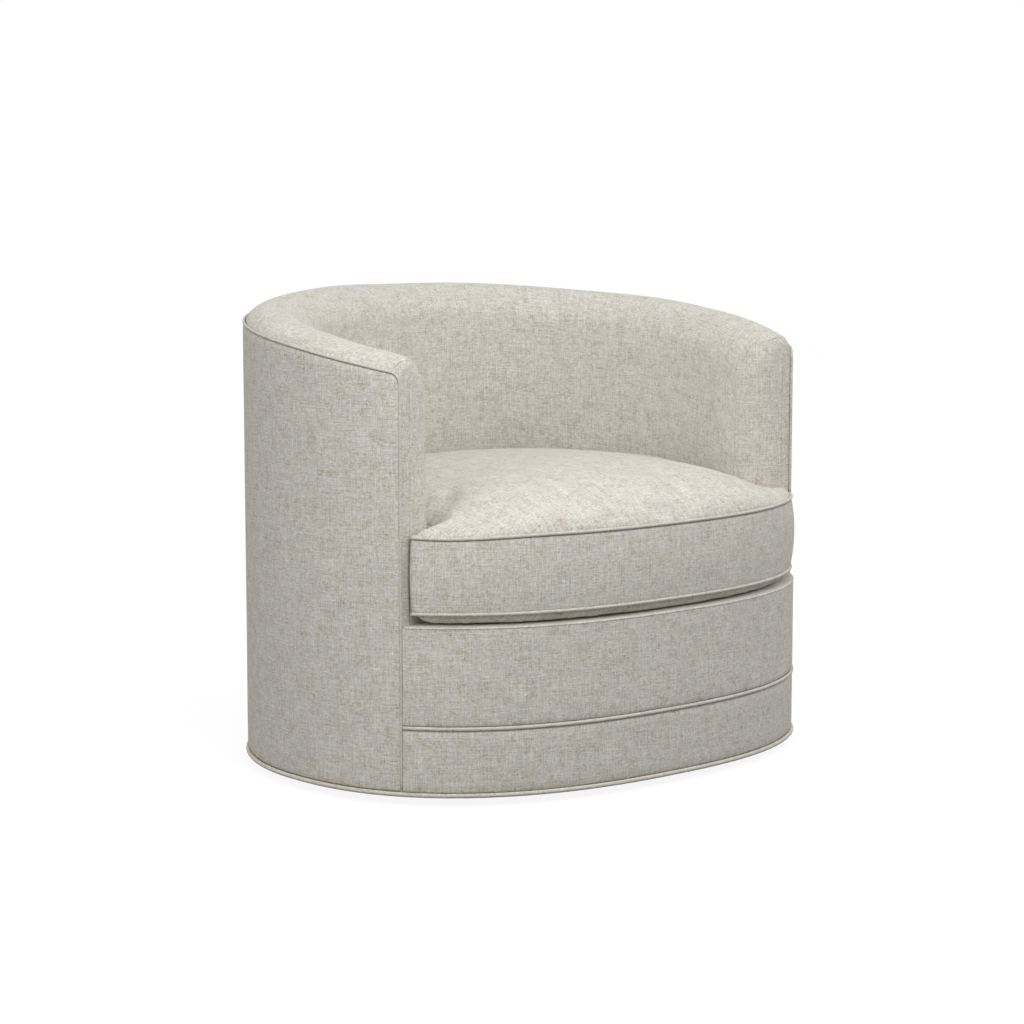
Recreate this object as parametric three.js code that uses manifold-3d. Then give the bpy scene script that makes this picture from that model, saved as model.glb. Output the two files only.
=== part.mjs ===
// A swivel barrel chair: an oval upholstered shell on a hidden wooden foot with a ball-bearing swivel,
// and one loose seat cushion. Millimetres, +Z up. The front faces -Y and the floor is z = 0.
import * as THREE from "three";
import { mergeVertices } from "three/addons/utils/BufferGeometryUtils.js";
import Module from "manifold-3d";

// The shell's outline seen from above, over its fabric
const half_width = 450;
const front_depth = 350;
const back_depth = 393;
const front_oval_exponent = 2.4;
const back_oval_exponent = 2;
const arm_angle = 63.5;

// Layers of the walls, from the outside in
const seam_gap = 0.3;
const edge_welt_radius = 2.2;
const cover_thickness = 2;
const frame_thickness = 29;
const lining_thickness = 3;
const rim_depth = 116;

// The rim and the arms
const rim_front_height = 619;
const rim_rise = 76;
const rim_swell_share = 0.7;
const rim_ease_share = 0.68;
const crown_rise = 20.6;
const crown_inset = 41;
const cover_lap = 4;
const roll_drop = 56;
const wall_lean = 6;
const crown_front_inset = 13;
const roll_front_drop = 80;
const arm_corner_radius = 84;
const arm_corner_length = 110;
const arm_top_radius = 14;
const arm_skew_angle = 28;
const arm_skew_length = 140;
const cover_tuck = 26;

// The bottom edge, the band and the deck
const skirt_clearance = 12;
const bottom_welt_radius = 3.5;
const band_welt_radius = 3;
const band_welt_height = 112.5;
const deck_height = 259;
const deck_cloth_thickness = 2.3;
const deck_edge_round = 1.8;
const deck_ear_radius = 4;

// The foot and the swivel
const glide_radius = 16;
const glide_height = 6;
const glide_chamfer = 2.5;
const glide_shank_radius = 2.5;
const glide_shank_length = 12;
const glide_circle_radius = 235;
const board_radius = 270;
const board_thickness = 18;
const plate_half_side = 128;
const plate_thickness = 2;
const race_rise = 1.4;
const race_half_width = 8;
const ball_radius = 5;
const ball_circle_radius = 95;
const ball_count = 12;
const cage_thickness = 2;
const cage_half_width = 9;
const pivot_radius = 7.7;
const pivot_flange_radius = 14;
const pivot_flange_thickness = 2.4;
const pivot_hole_margin = 4;
const screw_radius = 3;
const screw_head_radius = 6;
const screw_head_height = 3;
const screw_length = 14;
const screw_half_spacing = 110;
const bolt_radius = 4;
const bolt_head_radius = 7;
const bolt_head_height = 5;
const bolt_reach = 16;
const bolt_hole_depth = 18;
const bolt_half_spacing = 105;

// The wooden frame
const ring_width = 60;
const cross_rail_width = 70;
const cross_rail_thickness = 22;
const cross_rail_half_spacing = 90;
const cross_rail_setback = 12;
const seat_ring_thickness = 18;
const seat_ring_width = 60;
const seat_springing_depth = 45;
const post_width = 60;
const post_setback = 2;
const post_top_gap = 0.7;
const top_rail_thickness = 20;
const top_rail_depth = 14;
const arm_post_past = 42;
const side_post_angle = 93;
const back_post_angle = 145;
const arm_rail_angle = 120;
const dust_cover_thickness = 1;
const dust_cover_inset = 8;
const dust_cover_gap = 12;

// The seat's springing
const wire_radius = 1.9;
const spring_count = 5;
const spring_spacing = 96;
const spring_half_width = 20;
const spring_pitch = 58;
const spring_hold = 16;
const spring_cloth_thickness = 1.4;
const spring_cloth_front_inset = 30;

// The seat cushion
const cushion_front_inset = 3;
const cushion_arm_gap = 6.5;
const cushion_middle_advance = 120;
const cushion_wall_gap = 8;
const cushion_ear_radius = 13;
const cushion_least_radius = 1;
const cushion_bottom_welt_rise = 18;
const cushion_welt_spacing = 112;
const cushion_welt_radius = 2.6;
const cushion_shoulder = 46;
const cushion_shoulder_reach = 42;
const cushion_front_reach = 110;
const cushion_dome = 18;
const cushion_belly_reach = 40;
const cushion_droop_start = 170;
const cushion_droop_end = 360;
const cushion_droop_share = 0.55;
const cushion_front_swell = 3;
const cushion_back_tuck = 6;
const zip_height = 8;
const zip_thickness = 1.2;
const zip_half_angle = 30;
const slider_length = 12;
const slider_height = 9;
const slider_thickness = 4;

// How finely the curves are cut
const outline_step_angle = 7.5;
const hidden_step_angle = 15;
const least_step_share = 0.25;
const degree_angle = 1;
const half_circle_degrees = 180;
const full_circle_degrees = 360;
const radian = Math.PI / half_circle_degrees;
const round_sides = 20;
const welt_sides = 5;
const crown_angles = [180, 135];
const roll_angles = [90, 60, 30, 0];

// Places that follow from the sizes
const panel_thickness = 2 * edge_welt_radius;
const frame_inset = panel_thickness + seam_gap;
const frame_back_inset = frame_inset + frame_thickness;
const lining_inset = frame_back_inset + seam_gap;
const pad_inset = lining_inset + lining_thickness + seam_gap;
const widest_y = (front_depth - back_depth) / 2;
const seam_reach = edge_welt_radius + seam_gap;
const bottom_welt_height = skirt_clearance + bottom_welt_radius;
const panel_foot = bottom_welt_height + bottom_welt_radius + seam_gap;
const board_foot = glide_height + seam_gap;
const lower_plate_foot = board_foot + board_thickness + seam_gap;
const lower_race_top = lower_plate_foot + plate_thickness + race_rise;
const ball_height = lower_race_top + seam_gap + ball_radius;
const upper_race_foot = ball_height + ball_radius + seam_gap;
const upper_plate_foot = upper_race_foot + race_rise;
const swivel_top = upper_plate_foot + plate_thickness;
const ring_foot = bottom_welt_height - bottom_welt_radius / 2;
const front_rail_top = deck_height - seat_springing_depth;
const cross_rail_foot = swivel_top + seam_gap;
const spring_height = front_rail_top + seam_gap + wire_radius;
const spring_cloth_foot = spring_height + wire_radius + seam_gap;
const spring_cloth_top = spring_cloth_foot + spring_cloth_thickness;
const deck_pad_foot = spring_cloth_top + seam_gap;
const deck_cloth_foot = deck_height - deck_cloth_thickness;
const cover_foot = deck_height - cover_tuck;
const lining_foot = front_rail_top + seam_gap;
const hole_margin = seam_gap;
const cushion_bottom_welt_height = deck_height + cushion_bottom_welt_rise;
const cushion_top_welt_height = cushion_bottom_welt_height + cushion_welt_spacing;

const wasm = await Module();
wasm.setup();

// Finishes
function finish(color, roughness = 0.9, metalness = 0) {
  return new THREE.MeshStandardMaterial({ color, roughness, metalness });
}
const linen = finish("#c9c5bb");
const linen_welt = finish("#d8d5cc");
const inner_linen = finish("#bdb8ad");
const foam = finish("#efe3b4");
const timber = finish("#c79a63", 0.7);
const plywood = finish("#d2ad78", 0.7);
const steel = finish("#8d9093", 0.4, 0.9);
const spring_steel = finish("#5f6265", 0.4, 0.9);
const nylon = finish("#2a2a2b", 0.5);
const cambric = finish("#1f1f20");
const burlap = finish("#a98f62");

const chair = new THREE.Group();
function add(name, geometry, material, place = {}) {
  const mesh = new THREE.Mesh(geometry, material);
  mesh.name = name;
  mesh.position.set(place.x ?? 0, place.y ?? 0, place.z ?? 0);
  mesh.rotation.z = place.turn ?? 0;
  chair.add(mesh);
  return mesh;
}

// A closed body from its corners and triangles, with its faces turned outwards
function body(corners, triangles) {
  let volume = 0;
  for (const [a, b, c] of triangles) volume += corners[a].dot(corners[b].clone().cross(corners[c]));
  const outward = volume < 0 ? triangles.map(([a, b, c]) => [a, c, b]) : triangles;
  return new THREE.BufferGeometry().setFromPoints(corners).setIndex(outward.flat());
}

// Triangles that close a ring of corners, wound the way the ring runs
function lid(ring) {
  const along = Math.sign(THREE.ShapeUtils.area(ring));
  return THREE.ShapeUtils.triangulateShape(ring, []).map(([a, b, c]) => {
    const wound = THREE.ShapeUtils.area([ring[a], ring[b], ring[c]]);
    return wound * along > 0 ? [a, b, c] : [a, c, b];
  });
}

// Rings of corners joined into one body, each patch split along its shorter diagonal, so that
// layers of one shape fit inside each other; an open run is closed by a lid at each end
function loft(rings, closed, end_shape) {
  const size = rings[0].length;
  const corners = rings.flat();
  const triangles = [];
  const spans = closed ? rings.length : rings.length - 1;
  for (let span = 0; span < spans; span++) {
    const here = span * size;
    const next = ((span + 1) % rings.length) * size;
    for (let k = 0; k < size; k++) {
      const after = (k + 1) % size;
      const [a, b, c, d] = [here + k, here + after, next + after, next + k];
      const even = corners[a].distanceTo(corners[c]) <= corners[b].distanceTo(corners[d]);
      triangles.push(even ? [a, b, c] : [a, b, d], even ? [a, c, d] : [b, c, d]);
    }
  }
  if (!closed) {
    const last = (rings.length - 1) * size;
    for (const [a, b, c] of lid(end_shape)) {
      triangles.push([a, c, b]);
      triangles.push([last + a, last + b, last + c]);
    }
  }
  return body(corners, triangles);
}

// A flat slab on a plan
function slab(plan, foot, top) {
  const rings = [foot, top].map((z) => plan.map((p) => new THREE.Vector3(p.x, p.y, z)));
  return loft(rings, false, plan);
}

// The mirror image across the chair's middle plane
function mirrored(geometry) {
  const corners = [];
  const place = geometry.getAttribute("position");
  for (let k = 0; k < place.count; k++) {
    corners.push(new THREE.Vector3(-place.getX(k), place.getY(k), place.getZ(k)));
  }
  const index = Array.from(geometry.index.array);
  const triangles = [];
  while (index.length) triangles.push(index.splice(0, 3));
  return body(corners, triangles);
}

// Joins and cuts
function toSolid(geometry) {
  const bare = geometry.clone().deleteAttribute("normal").deleteAttribute("uv");
  const merged = mergeVertices(bare);
  return new wasm.Manifold(new wasm.Mesh({
    numProp: 3,
    vertProperties: merged.getAttribute("position").array,
    triVerts: new Uint32Array(merged.index.array),
  }));
}
function fromSolid(solid) {
  const mesh = solid.getMesh();
  return new THREE.BufferGeometry()
    .setAttribute("position", new THREE.BufferAttribute(mesh.vertProperties, 3))
    .setIndex(new THREE.BufferAttribute(mesh.triVerts, 1));
}

// Round pieces that stand upright
function turned(profile, sides = round_sides) {
  const points = profile.map(([radius, z]) => new THREE.Vector2(radius, z));
  return new THREE.LatheGeometry(points, sides).rotateX(Math.PI / 2);
}
function disc(radius, foot, top, sides = round_sides) {
  return new THREE.CylinderGeometry(radius, radius, top - foot, sides)
    .rotateX(Math.PI / 2)
    .translate(0, 0, (foot + top) / 2);
}

// A place on the shell: turn is the angle from the front in degrees, inset the depth into the wall
function outline(turn, inset = 0, height = 0) {
  const across = Math.sin(turn * radian);
  const ahead = -Math.cos(turn * radian);
  const depth = ahead < 0 ? front_depth : back_depth;
  const power = ahead < 0 ? front_oval_exponent : back_oval_exponent;
  const shares = Math.abs(across / half_width) ** power + Math.abs(ahead / depth) ** power;
  const reach = shares ** (-1 / power);
  const x = reach * across;
  const y = reach * ahead;
  const outward = new THREE.Vector2(
    (Math.sign(x) * Math.abs(x / half_width) ** (power - 1)) / half_width,
    (Math.sign(y) * Math.abs(y / depth) ** (power - 1)) / depth,
  ).normalize();
  return new THREE.Vector3(x - inset * outward.x, y - inset * outward.y + widest_y, height);
}
const length_per_degree = outline(arm_angle + degree_angle).distanceTo(outline(arm_angle));
const turnPast = (length) => arm_angle + length / length_per_degree;
const lengthPast = (turn) =>
  (Math.min(turn, full_circle_degrees - turn) - arm_angle) * length_per_degree;
const aheadAt = (turn) =>
  outline(turn - degree_angle).sub(outline(turn + degree_angle)).normalize();
// A place in front of the right arm's face, by the length behind it and the inset into the wall
const arm_skew = Math.tan(arm_skew_angle * radian);
const slide = (inset) => Math.max(0, inset - frame_inset) * arm_skew;
const arm_ahead = aheadAt(arm_angle);
const armPlace = (length, inset, height = 0) =>
  outline(arm_angle, inset, height).addScaledVector(arm_ahead, slide(inset) - length);
// A place in the padded wall, which is drawn forward near an arm, as the arm's face runs across the chair
function wallPlace(turn, inset, height = 0) {
  const side = turn > half_circle_degrees ? -1 : 1;
  const share = THREE.MathUtils.clamp(1 - lengthPast(turn) / arm_skew_length, 0, 1);
  return outline(turn, inset, height).addScaledVector(aheadAt(turn), side * slide(inset) * share ** 2);
}

// The turns at which a curved piece is cut, its two ends included
function turnsBetween(first, last, step = outline_step_angle) {
  const turns = [first];
  let turn = Math.ceil(first / step + least_step_share) * step;
  for (; turn < last - step * least_step_share; turn += step) turns.push(turn);
  return [...turns, last];
}
// Closer cuts where an arm's front is rounded; every wall shares them, whatever length it starts at
const top_cut_shares = [0.08, 0.25, 0.55, 1];
const corner_cut_shares = [0.3, 0.58, 1];
const arm_cuts = [
  ...top_cut_shares.map((share) => share * arm_top_radius),
  ...corner_cut_shares.map((share) => share * arm_corner_length),
];
function turnsFromArm(start, last) {
  const near = [start, ...arm_cuts.filter((length) => length > start)].map(turnPast);
  return [...near, ...turnsBetween(near[near.length - 1], last).slice(1)];
}
function turnsAround(start) {
  const near = turnsFromArm(start, half_circle_degrees);
  return [...near, ...near.slice(0, -1).reverse().map((turn) => full_circle_degrees - turn)];
}
const leftTurns = (turns) => turns.map((turn) => full_circle_degrees - turn).reverse();
const front_end = turnPast(-seam_reach);
const front_turns = turnsBetween(-front_end, front_end);
const ring_turns = [...front_turns, ...turnsAround(seam_reach)];
const hidden_turns = turnsBetween(0, full_circle_degrees, hidden_step_angle).slice(0, -1);

// A piece that follows the outline; section gives its corners as [inset, height]
function swept(turns, section, closed = false, place = outline) {
  const rings = turns.map((turn) => section(turn).map(([inset, z]) => place(turn, inset, z)));
  const ends = section(turns[0]).map(([inset, z]) => new THREE.Vector2(inset, z));
  return loft(rings, closed, ends);
}
const box_section = (inset, width, foot, top) => [
  [inset, top],
  [inset + width, top],
  [inset + width, foot],
  [inset, foot],
];
function cordSection(inset, height, radius, sides = welt_sides) {
  const corners = [];
  for (let side = 0; side < sides; side++) {
    const angle = (full_circle_degrees * radian * side) / sides;
    corners.push([inset - radius * Math.cos(angle), height + radius * Math.sin(angle)]);
  }
  return corners;
}

// The top seam climbs from the arms' fronts to the back
const arm_y = outline(arm_angle).y;
const back_y = widest_y + back_depth;
function seamHeight(turn) {
  const share = (outline(turn).y - arm_y) / (back_y - arm_y);
  const swell = rim_swell_share - rim_ease_share * share;
  return rim_front_height + rim_rise * (share + share * (1 - share) * swell);
}
// How far a rounded corner falls short of square, at a length past its start
function roundDrop(past, length, depth) {
  const short = THREE.MathUtils.clamp(1 - past / length, 0, 1);
  return depth * (1 - Math.sqrt(1 - short ** 2));
}

// The padded wall's face at a depth under the fabric: over the rim, down the inside, to a foot
function rimFace(turn, depth, foot) {
  const past = lengthPast(turn);
  const wall = rim_depth - roundDrop(past, arm_corner_length, arm_corner_radius);
  const seam = seamHeight(turn) - roundDrop(past, arm_top_radius, arm_top_radius);
  const crown = crown_inset - roundDrop(past, arm_corner_length, crown_inset - crown_front_inset);
  const roll = roll_drop + roundDrop(past, arm_corner_length, roll_front_drop - roll_drop);
  const face = [];
  for (const angle of crown_angles) {
    face.push([
      crown + (crown - frame_inset - depth) * Math.cos(angle * radian),
      seam - cover_lap + (crown_rise + cover_lap - depth) * Math.sin(angle * radian),
    ]);
  }
  const lean = Math.min(wall_lean, (wall - crown) / 2);
  for (const angle of roll_angles) {
    face.push([
      crown + (wall - lean - crown - depth) * Math.cos(angle * radian),
      seam + crown_rise - roll + (roll - depth) * Math.sin(angle * radian),
    ]);
  }
  return [...face, [wall - depth, foot]];
}

// Round holes at the same places in a solid
function drilled(solid, places, radius, foot, top, sides) {
  return places.reduce((rest, [x, y]) =>
    rest.subtract(toSolid(disc(radius, foot, top, sides).translate(x, y, 0))), solid);
}
function squarePlaces(half_x, half_y) {
  return [1, -1].flatMap((y) => [-1, 1].map((x) => [x * half_x, y * half_y]));
}

// The foot: a round board on four glides, each nailed up into it by its own shank
const glide_profile = [
  [0, 0],
  [glide_radius - glide_chamfer, 0],
  [glide_radius, glide_chamfer],
  [glide_radius, glide_height],
  [glide_shank_radius, glide_height],
  [glide_shank_radius, glide_height + glide_shank_length],
  [0, glide_height + glide_shank_length],
];
const glide_half_spacing = glide_circle_radius * Math.SQRT1_2;
const glide_places = squarePlaces(glide_half_spacing, glide_half_spacing);
glide_places.forEach(([x, y], k) => add("glide_" + (k + 1), turned(glide_profile, 12), nylon, { x, y }));
const board_top = board_foot + board_thickness;
const screw_places = squarePlaces(screw_half_spacing, screw_half_spacing);
let board = toSolid(disc(board_radius, board_foot, board_top, 40));
board = drilled(board, [[0, 0]], pivot_flange_radius + pivot_hole_margin, 0, swivel_top, 16);
board = drilled(board, glide_places, glide_shank_radius + hole_margin, 0, swivel_top, 8);
board = drilled(board, screw_places, screw_radius + hole_margin, 0, swivel_top, 8);
add("base_board", fromSolid(board), plywood);

// The swivel: two pressed plates with ball races, the balls in their cage, and the rivet that holds them
function plate(foot, race_foot) {
  const flat = new THREE.BoxGeometry(2 * plate_half_side, 2 * plate_half_side, plate_thickness)
    .translate(0, 0, foot + plate_thickness / 2);
  const inner = ball_circle_radius - race_half_width;
  const outer = ball_circle_radius + race_half_width;
  const race_top = race_foot + race_rise + plate_thickness / 2;
  const race = turned([
    [inner, race_foot],
    [outer, race_foot],
    [outer, race_top],
    [inner, race_top],
    [inner, race_foot],
  ]);
  const pressed = toSolid(flat).add(toSolid(race));
  return drilled(pressed, [[0, 0]], pivot_radius + hole_margin, 0, 2 * swivel_top, 16);
}
const screw_top = lower_plate_foot + plate_thickness + screw_head_height;
const screw = turned([
  [0, screw_top - screw_head_height - screw_length],
  [screw_radius, screw_top - screw_head_height - screw_length],
  [screw_radius, screw_top - screw_head_height],
  [screw_head_radius, screw_top - screw_head_height],
  [screw_head_radius, screw_top],
  [0, screw_top],
], 8);
const lower_race_foot = lower_plate_foot + plate_thickness / 2;
const lower_plate = screw_places.reduce((rest, [x, y]) =>
  rest.add(toSolid(screw.clone().translate(x, y, 0))), plate(lower_plate_foot, lower_race_foot));
add("swivel_lower_plate", fromSolid(lower_plate), steel);
const bolt_places = squarePlaces(bolt_half_spacing, cross_rail_half_spacing);
const bolt_hole_top = cross_rail_foot + bolt_hole_depth;
const bolt_hole_radius = bolt_radius + hole_margin;
const boltHoles = (solid) =>
  fromSolid(drilled(solid, bolt_places, bolt_hole_radius, 0, bolt_hole_top, 8));
add("swivel_upper_plate", boltHoles(plate(upper_plate_foot, upper_race_foot)), steel);

const cage_ring = turned([
  [ball_circle_radius - cage_half_width, ball_height - cage_thickness / 2],
  [ball_circle_radius + cage_half_width, ball_height - cage_thickness / 2],
  [ball_circle_radius + cage_half_width, ball_height + cage_thickness / 2],
  [ball_circle_radius - cage_half_width, ball_height + cage_thickness / 2],
  [ball_circle_radius - cage_half_width, ball_height - cage_thickness / 2],
]);
let cage = toSolid(cage_ring);
for (let ball = 0; ball < ball_count; ball++) {
  const angle = ((ball + 0.5) * full_circle_degrees * radian) / ball_count;
  const sphere = new THREE.SphereGeometry(ball_radius, 6, 4).rotateX(Math.PI / 2);
  sphere.translate(ball_circle_radius * Math.cos(angle), ball_circle_radius * Math.sin(angle), ball_height);
  cage = cage.add(toSolid(sphere));
}
add("ball_cage", fromSolid(cage), steel);

const pivot_foot = lower_plate_foot - seam_gap - pivot_flange_thickness;
const pivot_top = swivel_top + seam_gap + pivot_flange_thickness;
add("swivel_pivot", turned([
  [0, pivot_foot],
  [pivot_flange_radius, pivot_foot],
  [pivot_flange_radius, pivot_foot + pivot_flange_thickness],
  [pivot_radius, pivot_foot + pivot_flange_thickness],
  [pivot_radius, pivot_top - pivot_flange_thickness],
  [pivot_flange_radius, pivot_top - pivot_flange_thickness],
  [pivot_flange_radius, pivot_top],
  [0, pivot_top],
], 16), steel);

const bolt_foot = upper_plate_foot - seam_gap - bolt_head_height;
const bolt_profile = [
  [0, bolt_foot],
  [bolt_head_radius, bolt_foot],
  [bolt_head_radius, bolt_foot + bolt_head_height],
  [bolt_radius, bolt_foot + bolt_head_height],
  [bolt_radius, cross_rail_foot + bolt_reach],
  [0, cross_rail_foot + bolt_reach],
];
bolt_places.forEach(([x, y], k) => add("swivel_bolt_" + (k + 1), turned(bolt_profile, 8), steel, { x, y }));

// The frame: the bottom ring, the two rails that the swivel bolts to, the front rail and the seat ring
add("bottom_ring", swept(ring_turns, () =>
  box_section(frame_inset, ring_width, ring_foot, swivel_top), true), plywood);
const ovalShare = (share, power) => (1 - Math.abs(share) ** power) ** (1 / power);
for (const [name, side, depth, power] of [
  ["front_cross_rail", -1, front_depth, front_oval_exponent],
  ["back_cross_rail", 1, back_depth, back_oval_exponent],
]) {
  const far_edge = side * (cross_rail_half_spacing + cross_rail_width / 2) - widest_y;
  const reach = half_width * ovalShare(far_edge / depth, power) - frame_inset - cross_rail_setback;
  const rail = new THREE.BoxGeometry(2 * reach, cross_rail_width, cross_rail_thickness)
    .translate(0, side * cross_rail_half_spacing, cross_rail_foot + cross_rail_thickness / 2);
  add(name, boltHoles(toSolid(rail)), timber);
}
add("front_rail", swept(front_turns, () =>
  box_section(frame_inset, frame_thickness, cross_rail_foot, front_rail_top)), plywood);
const seat_ring_foot = front_rail_top - seat_ring_thickness;
add("seat_ring", swept(hidden_turns, () =>
  box_section(lining_inset, seat_ring_width, seat_ring_foot, front_rail_top), true), plywood);

// Posts stand on the bottom ring and carry the top rails
function addPost(name, turn) {
  const depth = frame_thickness - post_setback;
  const middle = outline(turn, frame_inset + post_setback + depth / 2);
  const normal = outline(turn).sub(outline(turn, 1));
  const swing = post_width / 2 / length_per_degree;
  const lowest = Math.min(seamHeight(turn - swing), seamHeight(turn + swing));
  const top = lowest - top_rail_depth - top_rail_thickness - post_top_gap;
  const post = new THREE.BoxGeometry(depth, post_width, top - cross_rail_foot)
    .translate(0, 0, (top + cross_rail_foot) / 2);
  add(name, post, timber, { x: middle.x, y: middle.y, turn: Math.atan2(normal.y, normal.x) });
}
for (const [side, sign] of [["left", -1], ["right", 1]]) {
  addPost("arm_post_" + side, sign * turnPast(arm_post_past));
  addPost("side_post_" + side, sign * side_post_angle);
  addPost("back_post_" + side, sign * back_post_angle);
}
addPost("middle_post", half_circle_degrees);

const rail_section = (turn) => box_section(
  frame_inset,
  frame_thickness,
  seamHeight(turn) - top_rail_depth - top_rail_thickness,
  seamHeight(turn) - top_rail_depth,
);
const rail_joint = seam_gap / length_per_degree / 2;
const arm_rail_turns = turnsFromArm(arm_top_radius, arm_rail_angle - rail_joint);
const walled = (turns, section) => swept(turns, section, false, wallPlace);
add("arm_rail_right", walled(arm_rail_turns, rail_section), plywood);
add("arm_rail_left", walled(leftTurns(arm_rail_turns), rail_section), plywood);
const back_start = arm_rail_angle + rail_joint;
const back_turns = turnsBetween(back_start, full_circle_degrees - back_start);
add("back_rail", swept(back_turns, rail_section), plywood);
add("inside_lining", walled(turnsAround(arm_top_radius), (turn) =>
  box_section(lining_inset, lining_thickness, lining_foot, seamHeight(turn) - top_rail_depth)), plywood);

// Zigzag springs run from the front rail to the back of the seat ring
const wire_section = cordSection(0, 0, wire_radius, 4);
const wire_shape = new THREE.Shape(wire_section.map(([x, y]) => new THREE.Vector2(x, y)));
for (let k = 0; k < spring_count; k++) {
  const x = (k - (spring_count - 1) / 2) * spring_spacing;
  const front_inset = frame_inset + spring_hold;
  const back_inset = lining_inset + seat_ring_width - spring_hold;
  const front_share = x / (half_width - front_inset);
  const back_share = x / (half_width - back_inset);
  const front = widest_y - (front_depth - front_inset) * ovalShare(front_share, front_oval_exponent);
  const back = widest_y + (back_depth - back_inset) * ovalShare(back_share, back_oval_exponent);
  const bends = 2 * Math.round((back - front) / spring_pitch);
  const route = [new THREE.Vector3(x, front, spring_height)];
  for (let bend = 1; bend < bends; bend++) {
    const side = bend % 2 ? spring_half_width : -spring_half_width;
    const y = front + ((back - front) * bend) / bends;
    route.push(new THREE.Vector3(x + side, y, spring_height));
  }
  route.push(new THREE.Vector3(x, back, spring_height));
  const wire = new THREE.ExtrudeGeometry(wire_shape, {
    steps: 2 * bends,
    extrudePath: new THREE.CatmullRomCurve3(route),
    bevelEnabled: false,
  });
  add("seat_spring_" + (k + 1), wire, spring_steel);
}

// A plan inside the arms, with an ear in front of each arm: from the front's middle round the right side
const ear_angles = [0, 45, 90];
const corner_angles = [0, 15, 30, 50, 70];
function seatPlan(front_inset, arm_gap, wall_gap, ear_radius, step) {
  const half = [];
  const ear_length = -arm_gap - ear_radius;
  const last_turn = turnPast(ear_length - slide(front_inset));
  for (const turn of turnsBetween(0, last_turn, step).slice(0, -1)) {
    half.push(outline(turn, front_inset));
  }
  for (const angle of ear_angles) {
    const round = ear_radius * Math.cos(angle * radian);
    const length = ear_length + ear_radius * Math.sin(angle * radian);
    half.push(armPlace(length, front_inset + ear_radius - round));
  }
  for (const angle of corner_angles) {
    const length = arm_corner_length - (arm_corner_length + arm_gap) * Math.cos(angle * radian);
    const rise = (arm_corner_radius + wall_gap) * Math.sin(angle * radian);
    const flat = Math.max(rim_depth - arm_corner_radius, front_inset + ear_radius + seam_gap);
    const inset = Math.max(flat, rim_depth - arm_corner_radius + rise);
    half.push(length < 0 ? armPlace(length, inset) : wallPlace(turnPast(length), inset));
  }
  for (const turn of turnsBetween(turnPast(arm_corner_length), half_circle_degrees, step)) {
    half.push(wallPlace(turn, rim_depth + wall_gap));
  }
  const right = half.map((p) => new THREE.Vector2(p.x, p.y));
  const left = right.slice(1, -1).reverse().map((p) => new THREE.Vector2(-p.x, p.y));
  return [...right, ...left];
}
const deck_side = [seam_reach, seam_reach, deck_ear_radius, outline_step_angle];
const cloth_plan = seatPlan(spring_cloth_front_inset, ...deck_side.slice(0, 3), hidden_step_angle);
add("spring_cloth", slab(cloth_plan, spring_cloth_foot, spring_cloth_top), burlap);
const deck_pad_plan = seatPlan(frame_inset, ...deck_side);
add("deck_pad", slab(deck_pad_plan, deck_pad_foot, deck_cloth_foot - seam_gap), foam);
const deck_plan = seatPlan(0, ...deck_side);
const deck_top_plan = seatPlan(deck_edge_round, ...deck_side);
const deckRing = (plan, z) => plan.map((p) => new THREE.Vector3(p.x, p.y, z));
add("deck_cloth", loft([
  deckRing(deck_plan, deck_cloth_foot),
  deckRing(deck_plan, deck_height - deck_edge_round),
  deckRing(deck_top_plan, deck_height),
], false, deck_plan), linen);

// Padding of the arms and the back, over the rails and down to the seat ring
function padSection(turn) {
  const rail_top = seamHeight(turn) - top_rail_depth + seam_gap;
  const face = rimFace(turn, cover_thickness + seam_gap, spring_cloth_foot);
  return [[face[0][0], rail_top], [pad_inset, rail_top], [pad_inset, spring_cloth_foot], ...face.reverse()];
}
const arm_pad_turns = turnsFromArm(arm_cuts[2], arm_rail_angle - rail_joint);
add("arm_pad_right", walled(arm_pad_turns, padSection), foam);
add("arm_pad_left", walled(leftTurns(arm_pad_turns), padSection), foam);
add("back_pad", swept(back_turns, padSection), foam);

// One cover over the rim and down the inside, and a facing over the front of each arm
add("inside_cover", walled(turnsAround(seam_gap), (turn) => [
  ...rimFace(turn, 0, cover_foot),
  ...rimFace(turn, cover_thickness, cover_foot).reverse(),
]), inner_linen);
const facing_face = rimFace(arm_angle, 0, cover_foot);
const facing_shape = [...facing_face, [facing_face[0][0], cover_foot]];
const facingRing = (length) => facing_shape.map(([inset, z]) => armPlace(length, inset, z));
const facing_ends = facing_shape.map(([inset, z]) => new THREE.Vector2(inset, z));
const facing = loft([facingRing(-edge_welt_radius), facingRing(-seam_gap / 2)], false, facing_ends);
add("arm_front_right", facing, linen);
add("arm_front_left", mirrored(facing), linen);

// The outside: one panel round the back, the front panel, the lower band and the welts
function panelTop(turn) {
  const radius = arm_top_radius - seam_reach;
  return seamHeight(turn) - seam_reach - roundDrop(lengthPast(turn) - seam_reach, radius, radius);
}
add("outside_panel", swept(turnsAround(seam_reach), (turn) =>
  box_section(0, panel_thickness, panel_foot, panelTop(turn))), linen);
const band_reach = band_welt_radius + seam_gap;
add("front_panel", swept(front_turns, () =>
  box_section(0, panel_thickness, band_welt_height + band_reach, deck_cloth_foot - seam_gap)), linen);
add("lower_band", swept(front_turns, () =>
  box_section(0, panel_thickness, panel_foot, band_welt_height - band_reach)), linen);
add("band_welt", swept(front_turns, () =>
  cordSection(panel_thickness - band_welt_radius, band_welt_height, band_welt_radius)), linen_welt);
const bottom_welt_inset = panel_thickness - bottom_welt_radius;
add("bottom_welt", swept(ring_turns, () =>
  cordSection(bottom_welt_inset, bottom_welt_height, bottom_welt_radius), true), linen_welt);

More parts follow.
